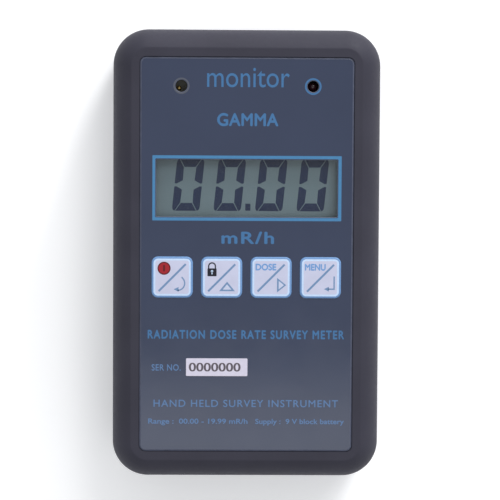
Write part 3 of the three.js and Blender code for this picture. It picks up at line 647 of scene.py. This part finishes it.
def hollow_rear():
    """The rear shell before it is cut: hollow, with a tongue, the battery bay's wall and ledge, bosses."""
    tongue_inset, tongue_height = 1.2, 1.4
    ledge_half, ledge_start, ledge_below, ledge_above = 31, -53.6, 0.7, 1
    bay_half, bay_half_top = 31.6, 30.6
    foot_radius, foot_top = 4.3, 5
    wall_low, wall_high = BAY_WALL
    foot = FLOOR - OVERLAP
    body = stack("rear_casing", case_rings(rear_levels()))
    tongue = [(FLOOR, tongue_inset), (SPLIT + tongue_height, tongue_inset)]
    combine(body, "UNION", [stack("tongue", case_rings(tongue, 12))])
    hollow = [(FLOOR, WALL + 1), (FLOOR + 1.2, WALL + 0.3), (SPLIT + tongue_height + BEYOND, WALL)]
    combine(body, "DIFFERENCE", [stack("cavity", case_rings(hollow, 12))])
    ledge = cuboid(-ledge_half, ledge_half, ledge_start, wall_high, FLOOR - ledge_below, FLOOR + ledge_above)
    combine(ledge, "INTERSECT", [stack("skin", case_rings(rear_levels()))])
    solid = [
        ledge,
        cuboid(-bay_half, bay_half, wall_low, wall_high, foot, SPLIT - 1),
        cuboid(-bay_half_top, bay_half_top, wall_low, wall_high, foot, REAR_HIGH.z),
    ]
    for p in CASE_SCREWS:
        solid.append(drum(foot_radius, foot, foot_top, p.x, p.y))
        solid.append(drum(BOSS_RADIUS, foot, SPLIT - SEAM / 2, p.x, p.y))
    return combine(body, "UNION", solid)


def rear_casing():
    """The rear shell, cut for the door and its rails, the battery's leads and the casing screws."""
    rail_low, rail_high = 1.0, 2.2
    bay_low, bay_high = 1, FLOOR + 2
    notch_start, notch_end, notch_low, notch_high = 19.5, 27.5, 8.5, REAR_HIGH.z + BEYOND
    head_radius, head_depth, shank_radius = 3.1, 3.15, 1.7
    wall_low, wall_high = BAY_WALL
    body = hollow_rear()
    half = DOOR_HALF + DOOR_GAP
    top = DOOR_TOP + DOOR_GAP
    inner_end = -LENGTH / 2 + WALL + 0.3
    cuts = [
        cuboid(-half, half, -LENGTH, top, -BEYOND, FLOOR + 0.1),
        cuboid(-half, half, inner_end, top, bay_low, bay_high),
        cuboid(-half - RAIL, half + RAIL, -LENGTH, top + RAIL, rail_low, rail_high),
        cuboid(notch_start, notch_end, wall_low - BEYOND, wall_high + BEYOND, notch_low, notch_high),
    ]
    for p in CASE_SCREWS:
        cuts.append(drum(head_radius, -BEYOND, head_depth, p.x, p.y))
        cuts.append(drum(shank_radius, -BEYOND, SPLIT + BEYOND, p.x, p.y, 6))
    combine(body, "DIFFERENCE", cuts)
    # Bevel faces get the paler edge finish: wear and a painted edge highlight.
    soften(tidy(body), width=0.12, material=1)
    return piece(body, "rear_casing", "root", [CASE, CASE_EDGE_WEAR_AND_HIGHLIGHT], ["rear_shell"])


def door_cover():
    """The sliding battery door, with a rail along three sides, finger grips and an arrow."""
    rail_low, rail_high = 1.15, 2.05
    grips, first_grip, grip_pitch = 5, 5, 1.9
    grip_half, grip_width, grip_corner, grip_depth = 8.0, 0.95, 0.45, 0.45
    arrow_half, arrow_start, arrow_tip, arrow_depth = 3.2, 16.2, 20.4, 0.3
    body = cuboid(-DOOR_HALF, DOOR_HALF, -LENGTH, DOOR_TOP, -BEYOND, DOOR_HIGH.z)
    reach = DOOR_HALF + RAIL
    combine(body, "UNION", [cuboid(-reach, reach, -LENGTH, DOOR_TOP + RAIL, rail_low, rail_high)])
    combine(body, "INTERSECT", [stack("skin", case_rings(rear_levels()))])
    cuts = []
    for row in range(grips):
        y = DOOR_TOP - first_grip - grip_pitch * row
        outline = rounded(2 * grip_half, grip_width, grip_corner, 4, 0, y)
        cuts.append(prism("grip", outline, -BEYOND, grip_depth))
    base_y = DOOR_TOP - arrow_start
    arrow = [(-arrow_half, base_y), (0, DOOR_TOP - arrow_tip), (arrow_half, base_y)]
    cuts.append(prism("arrow", arrow, -BEYOND, arrow_depth))
    combine(body, "DIFFERENCE", cuts)
    # Bevel faces get the paler edge finish: wear and a painted edge highlight.
    soften(tidy(body), width=0.12, material=1)
    return piece(body, "door_cover", "battery_cover", [CASE, CASE_EDGE_WEAR_AND_HIGHLIGHT], ["battery_door"])


# ---- Front panel and its printing ----

def opening(size_x, size_y, corner, x, y, slope, steps=8):
    """A cutter for a hole in the panel, whose mouth widens by slope at the top surface."""
    def ring(grow):
        return rounded(size_x + 2 * grow, size_y + 2 * grow, corner + grow, steps, x, y)
    return stack("opening", [
        (ring(0), PANEL_LOW.z - BEYOND), (ring(0), PANEL_TOP - slope / 2),
        (ring(slope), PANEL_TOP), (ring(slope), PANEL_TOP + BEYOND),
    ])


def panel():
    """The graphic film: its outer edge and its openings are cut with a slight slope, whose faces are painted
    paler as a painted highlight of the edge catching the light.
    """
    edge_slope, hole_slope, key_slope = 0.4, 0.12, 0.06
    port_width, lamp_width, key_gap = 3.0, 2.8, 0.05
    side = 0.001  # half of what stays straight between the corners of a round hole
    slope_least, slope_most = 0.3, 0.98  # upward part of a sloping face's normal
    body = stack("panel", [
        (rounded(PANEL_WIDTH - 2 * i, PANEL_LENGTH - 2 * i, PANEL_CORNER - i, 10), z)
        for z, i in ((PANEL_LOW.z, 0), (PANEL_TOP - edge_slope / 2, 0), (PANEL_TOP, edge_slope))
    ])
    cuts = [opening(WINDOW_WIDTH, WINDOW_LENGTH, 0.3, 0, WINDOW_Y, hole_slope, 4)]
    for width, p in ((port_width, PORT), (lamp_width, LAMP)):
        cuts.append(opening(width, width, width / 2 - side, p.x, p.y, hole_slope, 12))
    hole = KEY_SIZE + 2 * key_gap
    cuts += [opening(hole, hole, KEY_CORNER + key_gap, p.x, p.y, key_slope) for p in key_middles()]
    combine(body, "DIFFERENCE", cuts)
    body.data.materials.clear()
    # Sloping faces take the paler edge finish, which is a painted highlight.
    for face in body.data.polygons:
        face.material_index = 1 if slope_least < face.normal.z < slope_most else 0
    smooth(tidy(body))
    return piece(body, "panel_film", "root", [FILM, FILM_EDGE_HIGHLIGHT], ["graphic_panel"])


def lens():
    size = LENS_HIGH - LENS_LOW
    outline = rounded(size.x, size.y, corner=0.4, steps=4, y=WINDOW_Y)
    body = soften(prism("lens", outline, LENS_LOW.z, LENS_HIGH.z), width=0.08)
    return piece(body, "window_lens", "root", [LENS], ["display_lens"])


def printed(obj, name, finish, body="root"):
    return piece(obj, name, body, [finish])


def bolder(data, across, up):
    """Thickens letters by joining copies of them shifted to each side."""
    if not across:
        return data
    shifts = [(0, 0), (across, 0), (-across, 0)]
    if up:
        shifts += [(0, up), (0, -up)]
    copies = []
    for x, y in shifts:
        shifted_data = data.copy()
        shifted_data.transform(Matrix.Translation((x, y, 0)))
        copies.append(placed("copy", shifted_data))
    combine(copies[0], "UNION", copies[1:])
    made = copies[0].data
    bpy.data.objects.remove(copies[0])
    return made


def lettering(name, text, left, right, low, high, base, finish, body="root",
              weight=0.0, upright_weight=None, spacing=1.0, facing=1):
    """Printed words that fill a box from left to right and low to high; facing -1 reads from below."""
    half_depth, same = 0.5, 1e-5  # in letter heights
    curve = bpy.data.curves.new(name, "FONT")
    curve.body = text
    curve.extrude = half_depth
    curve.space_character = spacing
    curve.resolution_u = 5
    holder = placed(name, curve)
    data = evaluated_mesh(holder)
    bpy.data.objects.remove(holder)
    work = bmesh.new()
    work.from_mesh(data)
    bmesh.ops.remove_doubles(work, verts=work.verts, dist=same)
    work.to_mesh(data)
    work.free()
    data = bolder(data, weight, weight if upright_weight is None else upright_weight)
    xs = [v.co.x for v in data.vertices]
    ys = [v.co.y for v in data.vertices]
    scale_x = (right - left) / (max(xs) - min(xs))
    scale_y = (high - low) / (max(ys) - min(ys))
    for vertex in data.vertices:
        x = (vertex.co.x - min(xs)) * scale_x
        y = low + (vertex.co.y - min(ys)) * scale_y
        z = base + (vertex.co.z + half_depth) * INK * facing
        vertex.co = Vector((left + x if facing > 0 else right - x, y, z)) * MM
    return printed(placed(name, data), name, finish, body)


def ribbon(points, width):
    """The outline of a line of this width along points, with square ends."""
    least = 0.35  # keeps the outside of a sharp bend from running far out
    points = [Vector(p) for p in points]
    left, right = [], []
    for k, point in enumerate(points):
        before = points[max(k - 1, 0)]
        after = points[min(k + 1, len(points) - 1)]
        into = (point - before).normalized() if k else (after - point).normalized()
        out = (after - point).normalized() if k + 1 < len(points) else into
        along = (into + out).normalized()
        side = Vector((-along.y, along.x))
        reach = width / 2 / max(least, along.dot(into))
        left.append(point + side * reach)
        right.append(point - side * reach)
    return right + left[::-1]


def arc(x, y, radius, start, end):
    """Points along part of a circle, between two angles in degrees."""
    steps = 14
    angles = [radians(start + (end - start) * k / steps) for k in range(steps + 1)]
    return [(x + radius * cos(a), y + radius * sin(a)) for a in angles]


def shifted(points, x, y):
    return [(p[0] + x, p[1] + y) for p in points]


def printed_band(name, outer, inner, finish):
    printed(band(name, outer, inner, PRINT_BASE, PRINT_BASE + INK), name, finish)


def panel_printing():
    """The frame round the window, the printed ring round the lamp, a pale ring round the port that is a
    painted highlight of the port's edge, and the captions.
    """
    frame_width, frame_length, frame_shift, bare_edge = 46.6, 16.05, 0.05, 0.22
    lamp_ring, port_highlight_ring = (2.05, 1.62), (2.0, 1.66)  # outer and inner radius
    inner_width, inner_length = WINDOW_WIDTH + bare_edge * 2, WINDOW_LENGTH + bare_edge * 2
    outer = rounded(frame_width, frame_length, corner=0.16, steps=6, x=frame_shift, y=WINDOW_Y)
    inner = rounded(inner_width, inner_length, corner=0.3, steps=6, y=WINDOW_Y)
    printed_band("window_frame_print", outer, inner, FRAME_INK)
    # The lamp's ring is print; the port's paler ring is a painted highlight of the port's edge.
    for name, radii, p, finish in (("lamp", lamp_ring, LAMP, BLUE_INK), ("port", port_highlight_ring, PORT, PORT_RIM_HIGHLIGHT)):
        outer, inner = [circle(radius, p.x, p.y) for radius in radii]
        printed_band(f"{name}_ring_print_and_highlight", outer, inner, finish)
    lines = (  # name, words, ink, left, right, low, high, how much bolder, letter spacing
        ("word_print", "monitor", BLUE_INK, -9.9, 10.4, 41.3, 46.1, 0.0, 1.0),
        ("type_print", "GAMMA", BLUE_INK, -7.4, 7.7, 31.75, 35.0, 0.03, 1.05),
        ("unit_print", "mR/h", BLUE_INK, -6.2, 6.8, 2.75, 5.85, 0.026, 1.15),
        ("title_print", "RADIATION DOSE RATE SURVEY METER", BLUE_INK, -24.3, 24.3, -20.8, -18.55, 0.034, 1.2),
        ("serial_caption_print", "SER NO.", SMALL_INK, -23.3, -16.1, -28.7, -27.1, 0.014, 1.1),
        ("duty_print", "HAND HELD SURVEY INSTRUMENT", SMALL_INK, -22.8, 22.9, -37.7, -35.9, 0.008, 1.15),
        ("range_print", "Range :  00.00 - 19.99 mR/h", SMALL_INK, -24.1, 0.5, -42.3, -40.6, 0.016, 1.0),
        ("supply_print", "Supply :  9 V block battery", SMALL_INK, 2.4, 24.4, -42.3, -40.6, 0.016, 1.0),
    )
    for name, text, finish, left, right, low, high, weight, spacing in lines:
        lettering(name, text, left, right, low, high, PRINT_BASE, finish, weight=weight, spacing=spacing)


def thin_sheet(node, corner, bevel):
    """A sheet that fills a CAD node's box, and the height of its top."""
    low, high = box_mm(node)
    centre = (low + high) / 2
    outline = rounded(high.x - low.x, high.y - low.y, corner, 4, centre.x, centre.y)
    return soften(prism("sheet", outline, low.z, high.z), bevel), high.z


def serial_label():
    body, top = thin_sheet("serial_label", corner=0.25, bevel=0.02)
    piece(body, "number_label", "root", [LABEL], ["serial_label"])
    lettering("number_print", "0000000", -14.1, -1.3, -28.85, -26.7, top, LABEL_INK,
              weight=0.022, upright_weight=0.0)


# ---- Display ----

def digit_segments():
    """Outlines of a zero's six lit segments, upright, from the digit's lower left corner."""
    width, height = 6.8, 12.8
    thick, mitre, gap = 1.95, 0.72, 0.09
    waist = 0.42  # from half way up to the outer end of a side
    half = height / 2
    side_up = [
        (0, half + waist), (0, height - 0.95), (0.1, height - 0.5), (0.3, height - 0.16),
        (mitre - gap, height), (thick - gap, height - thick - gap), (thick, half + 1.15),
        (0.45, half + waist - 0.1),
    ]
    side_down = [(x, height - y) for x, y in side_up]
    top = [
        (mitre + gap, height), (width - mitre - gap, height),
        (width - thick - gap, height - thick), (thick + gap, height - thick),
    ]
    outlines = {"f": side_up, "e": side_down, "a": top, "d": [(x, height - y) for x, y in top]}
    outlines["b"] = [(width - x, y) for x, y in side_up]
    outlines["c"] = [(width - x, y) for x, y in side_down]
    return outlines


def anticlockwise(points):
    area = sum(a[0] * b[1] - b[0] * a[1] for a, b in zip(points, points[1:] + points[:1]))
    return points if area > 0 else points[::-1]


def display():
    """The display's face with 00.00 on it, the digits leaning to the right."""
    lean = tan(radians(5.8))
    foot, pitch, first = 10.8, 10.28, -18.5
    point_width, point_height, point_x, point_y = 1.3, 1.75, 0.33, foot + 0.95
    face, base = thin_sheet("display_polariser", corner=0.3, bevel=0.04)
    piece(face, "display_face", "root", [DISPLAY], ["display_polariser"])
    for index in range(4):
        for segment, outline in digit_segments().items():
            points = [(first + index * pitch + x + lean * y, foot + y) for x, y in outline]
            bar = prism("bar", anticlockwise(points), base, base + INK)
            printed(bar, f"segment_{index + 1}_{segment}", SEGMENT_INK)
    point = rounded(point_width, point_height, 0.2, 4, point_x, point_y)
    printed(prism("point", point, base, base + INK), "decimal_point", SEGMENT_INK)


# ---- Keys ----

def key_cap(name, p):
    """A soft-domed key: a blue border on its flank, a pale line inside it and a white face."""
    steps, shoulder, crown = 8, 0.02, 0.008
    flank, rise = 0.52, KEY_TOP - PANEL_TOP
    pale_end, face_start, least_corner = flank + 0.44, flank + 0.8, KEY_CORNER - 1.2
    levels = [(PANEL_LOW.z, 0.0), (PANEL_TOP - shoulder, 0.0)]
    for step in range(1, steps + 1):
        angle = pi / 2 * step / steps
        levels.append((PANEL_TOP + (rise - shoulder) * sin(angle), flank * (1 - cos(angle))))
    levels.append((KEY_TOP - crown, pale_end))
    levels.append((KEY_TOP, face_start))
    rings = [
        (rounded(KEY_SIZE - 2 * i, KEY_SIZE - 2 * i, max(KEY_CORNER - i, least_corner), 8, p.x, p.y), z)
        for z, i in levels
    ]
    body = stack("cap", rings)
    around = len(rings[0][0])
    for index, face in enumerate(body.data.polygons):
        level = (index - 1) // around
        face.material_index = max(0, min(2, level - steps))
    smooth(body, angle=40)
    finishes = [KEY_INK, PALE_INK, KEY_WHITE]
    piece(body, f"key_cap_{name}", f"key_{name}", finishes, [f"key_pad_{name}"])


def key_symbols(name, p):
    """The printing on one key's face. Places are measured from the key's middle."""
    body = f"key_{name}"
    thin = 0.32

    def mark(label, outline, finish, layer=0):
        low = KEY_TOP + layer * INK
        made = prism(label, anticlockwise(shifted(outline, p.x, p.y)), low, low + INK)
        printed(made, f"{label}_{name}", finish, body)

    def word(label, text):
        lettering(f"{label}_{name}", text, p.x - 3.85, p.x + 1.3, p.y + 1.75, p.y + 3.45, KEY_TOP,
                  WORD_INK, body, weight=0.04)

    mark("slash", ribbon([(-3.3, -3.45), (3.35, 3.25)], width=0.5), LINE_INK)
    if name == "power":
        disc_x, disc_y = -2.0, 2.2
        mark("disc_rim", circle(1.62, disc_x, disc_y), DARK_RED_INK)
        mark("disc", circle(1.34, disc_x, disc_y), RED_INK, 1)
        mark("disc_bar", rounded(0.45, 1.6, 0.2, 3, disc_x, disc_y), DARK_RED_INK, 2)
        sweep = [(2.35, 0.05)] + arc(1.35, -1.5, 1.75, 38, -72) + [(1.35, -3.28)]
        mark("return_curve", ribbon(sweep, thin), LINE_INK)
        mark("return_head", [(0.4, -3.0), (1.6, -2.4), (1.6, -3.6)], LINE_INK)
    if name == "lock_up":
        lock_x, lock_half = -2.37, 0.83
        left, right = lock_x - lock_half, lock_x + lock_half
        bow = arc(lock_x, 2.75, lock_half, 175, 5)
        shackle = [(left, 2.1), (left, 2.7)] + bow + [(right, 2.7), (right, 2.1)]
        mark("lock_body", rounded(2.25, 1.95, 0.18, 3, lock_x, 1.25), BLACK_INK)
        mark("lock_shackle", ribbon(shackle, thin), BLACK_INK)
        mark("lock_keyhole", circle(0.3, lock_x, 1.5, 4), PALE_INK, 1)
        mark("lock_keyslot", rounded(0.26, 0.75, 0.08, 2, lock_x, 1.1), PALE_INK, 1)
        mark("up_arrow", [(1.35, -1.05), (3.3, -3.4), (-0.6, -3.4)], LINE_INK)
        mark("up_arrow_face", [(1.35, -1.72), (2.45, -3.02), (0.25, -3.02)], FACE_INK, 1)
    if name == "dose_right":
        word("dose_word", "DOSE")
        mark("right_arrow", [(1.5, -0.05), (1.5, -3.65), (3.75, -1.85)], LINE_INK)
        mark("right_arrow_face", [(1.9, -0.8), (1.9, -2.9), (3.2, -1.85)], FACE_INK, 1)
    if name == "menu_enter":
        word("menu_word", "MENU")
        mark("enter_line", ribbon([(3.4, 0.35), (3.4, -2.8), (1.9, -2.8)], width=0.34), LINE_INK)
        mark("enter_head", [(0.9, -2.8), (2.1, -2.2), (2.1, -3.4)], LINE_INK)


# ---- Pieces carried over from the CAD with softened edges ----

def refined(node, body, finish, width, angle):
    """A copy of a CAD node, with edges softened by width and smooth curves, that stands for the node."""
    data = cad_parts[node].data.copy()
    data.materials.clear()
    made = tidy(placed(node, data), flat=1, delimit=())
    if width:
        soften(made, width, angle)
    else:
        smooth(made, angle)
    return piece(made, f"{node}.soft", body, [finish], [node])


def internals():
    """Everything behind the panel and the door."""
    edge_angle, screw_angle, round_angle = 28, 32, 50
    table = [  # nodes, slot, finish, how much their edges are softened
        ("alarm_lamp", "red_lens", RED_EPOXY, 0.0),
        ("sounder_cup", "black_plastic", BLACK_PLASTIC, 0.1),
        ("sounder_plate", "brass", BRASS, 0.05),
        ("display_front_glass display_rear_glass", "display_glass", DISPLAY, 0.08),
        ("display_reflector", "reflector_foil", TIN, 0.04),
        ("display_pins_upper display_pins_lower", "tinned_metal", TIN, 0.04),
        ("circuit_board", "board_laminate", LAMINATE, 0.08),
        ("transformer_core", "ferrite", FERRITE, 0.25),
        ("transformer_winding", "winding_tape", YELLOW_TAPE, 0.25),
        ("high_voltage_capacitor_1 high_voltage_capacitor_2", "ceramic_blue", BLUE_LACQUER, 0.12),
        ("anode_resistor", "ceramic_blue", BLUE_LACQUER, 0.08),
        ("processor", "black_plastic", BLACK_PLASTIC, 0.05),
        ("crystal", "tinned_metal", TIN, 0.1),
        ("reservoir_capacitor", "black_vinyl", BLACK_VINYL, 0.1),
        ("voltage_regulator", "black_plastic", BLACK_PLASTIC, 0.05),
        ("calibration_trimmer", "trimmer_blue", TRIMMER_BLUE, 0.1),
        ("lead_header", "ceramic_white", WHITE_PLASTIC, 0.1),
        ("tube_body", "steel", STEEL, 0.1),
        ("tube_filter_sleeve", "tinned_metal", TIN, 0.1),
        ("tube_insulator", "ceramic_white", WHITE_PLASTIC, 0.08),
        ("tube_anode_pin", "brass", BRASS, 0.04),
        ("tube_clip_left tube_clip_right", "brass", BRASS, 0.06),
        ("battery_terminal_plus battery_terminal_minus", "tinned_metal", TIN, 0.1),
        ("snap_connector", "black_vinyl", BLACK_VINYL, 0.4),
        ("battery_lead_red", "red_vinyl", RED_VINYL, 0.0),
        ("battery_lead_black", "black_vinyl", BLACK_VINYL, 0.0),
    ]
    for nodes, slot, finish, width in table:
        for node in nodes.split():
            refined(node, "root", finish, width, edge_angle if width else round_angle)
    for k in (1, 2, 3, 4):
        refined(f"case_screw_{k}", "root", ZINC, 0.06, screw_angle)
        refined(f"board_screw_{k}", "root", ZINC, 0.05, screw_angle)
    for name in KEYS:
        refined(f"switch_body_{name}", "root", BLACK_PLASTIC, 0.08, edge_angle)
        refined(f"switch_plunger_{name}", f"key_{name}", BLACK_PLASTIC, 0.1, edge_angle)


def sounder_details():
    """The dark ceramic on the sounder's plate and the dot of solder on it, seen through the port."""
    plate_top = box_mm("sounder_plate")[1].z
    radius, thickness, chamfer = 4.0, 0.2, 0.06
    disc = stack("ceramic", [
        (circle(radius - inset, PORT.x, PORT.y, 16), plate_top + rise)
        for rise, inset in ((0, 0), (thickness - chamfer, 0), (thickness, chamfer))
    ])
    piece(smooth(disc, angle=40), "sounder_ceramic", "root", [CERAMIC])
    steps, dot_radius, dot_height = 7, 0.62, 0.3
    dot_x, dot_y = PORT.x - 0.62, PORT.y - 0.5
    rings = []
    for step in range(steps):
        angle = pi / 2 * step / steps
        ring = circle(dot_radius * cos(angle), dot_x, dot_y, 6)
        rings.append((ring, plate_top + thickness + dot_height * sin(angle)))
    piece(smooth(stack("dot", rings), angle=60), "sounder_solder", "root", [BRASS])


def battery():
    """A 9 V block: a crimped jacket in two colours with generic marks on the side that faces the door."""
    low, high = box_mm("battery_body")
    centre = (low + high) / 2
    size = high - low
    corner, gold_inset, dark_inset, gold_end = 2.2, 0.22, 0.2, 13.0
    crimp = [(0.0, 1.5), (0.0, 0.5), (0.25, 0.12), (0.7, 0.0), (1.3, 0.0)]  # distance from the end, inset
    neck, neck_end = 1.6, 2.1
    profile = crimp + [(neck, gold_inset), (neck_end, gold_inset), (gold_end, gold_inset)]
    profile += [(gold_end + 0.001, dark_inset), (size.x - neck_end, dark_inset), (size.x - neck, dark_inset)]
    profile += [(size.x - along, inset) for along, inset in reversed(crimp)]
    rings = [
        (rounded(size.z - 2 * inset, size.y - 2 * inset, corner - inset / 2, 8), along)
        for along, inset in profile
    ]
    body = stack("battery", rings)
    body.data.transform(Matrix.Rotation(pi / 2, 4, "Y"))
    body.data.transform(Matrix.Translation(Vector((low.x, centre.y, centre.z)) * MM))
    for face in body.data.polygons:
        along = face.center.x / MM - low.x
        face.material_index = 1 if neck_end - 0.05 < along < gold_end + 0.01 else 0
    smooth(body, angle=30)
    piece(body, "battery_jacket", "root", [JACKET, GOLD], ["battery_body"])
    under = low.z + dark_inset
    sign_left, sign_right = high.x - 5, high.x - 2.4
    marks = (  # name, words, left, right, low, high, how much bolder
        ("battery_volts", "9 V", centre.x - 4, centre.x + 9, centre.y - 4, centre.y + 4, 0.02),
        ("battery_plus", "+", sign_left, sign_right, centre.y + 5, centre.y + 7.6, 0.02),
        ("battery_minus", "-", sign_left, sign_right, centre.y - 7, centre.y - 6.3, 0.0),
    )
    for name, text, left, right, start, end, weight in marks:
        lettering(name, text, left, right, start, end, under, GOLD,
                  weight=weight, facing=-1)


# ---- Stage ----

def camera():
    """Looks straight at the front, a few degrees off its normal, as in a product shot."""
    roll, tilt, yaw = radians(-0.329), radians(3.199), radians(1.081)
    distance = 0.519  # metres
    data = bpy.data.cameras.new("camera")
    data.sensor_width = 36
    data.lens = 151.5
    data.clip_start = 0.01
    data.clip_end = 10
    made = placed("camera", data)
    turn = Matrix.Rotation(roll, 3, "Z") @ Matrix.Rotation(tilt, 3, "X") @ Matrix.Rotation(yaw, 3, "Y")
    back = turn.transposed()
    target = Vector((0.87, 1.30, HEIGHT)) * MM
    place = target + back @ Vector((0, 0, distance))
    made.matrix_world = Matrix.Translation(place) @ back.to_4x4()
    bpy.context.scene.camera = made


def area_light(name, place, size, watts, aim=(0, 0, 0.02)):
    """A white rectangular light; place, size and aim are in metres."""
    data = bpy.data.lights.new(name, "AREA")
    data.shape = "RECTANGLE"
    data.size, data.size_y = size
    data.energy = watts
    made = placed(name, data)
    made.location = place
    made.rotation_mode = "QUATERNION"
    made.rotation_quaternion = (Vector(aim) - Vector(place)).to_track_quat("-Z", "Y")


def stage():
    """A wide pale floor, a faintly blue even sky and four lights."""
    floor_size, floor_corner, floor_depth = 6000, 400, 20.0
    outline = rounded(floor_size, floor_size, floor_corner, 16)
    floor = prism("floor", outline, -floor_depth, 0.0)
    floor.data.materials.append(floor_paint())
    world = bpy.data.worlds.new("studio")
    world.use_nodes = True
    sky = world.node_tree.nodes["Background"]
    sky.inputs["Color"].default_value = (0.95, 0.97, 1.0, 1)
    sky.inputs["Strength"].default_value = 0.63
    bpy.context.scene.world = world
    area_light("veil", place=(0.02, -0.39, 1.35), size=(0.6, 0.4), watts=1.14, aim=(0.02, -0.39, 0))
    area_light("key", place=(0.62, 1.27, 0.47), size=(0.34, 0.34), watts=11.5)
    area_light("fill", place=(0.48, 0.84, 1.15), size=(0.6, 0.6), watts=6.2)
    area_light("top_edge", place=(0.35, 1.5, 0.5), size=(1.25, 0.7), watts=4.8)
    bpy.context.scene.view_settings.view_transform = "Standard"


camera()
stage()
front_casing()
rear_casing()
door_cover()
panel()
lens()
panel_printing()
serial_label()
display()
for key_name, key_place in zip(KEYS, key_middles()):
    key_cap(key_name, key_place)
    key_symbols(key_name, key_place)
internals()
sounder_details()
battery()
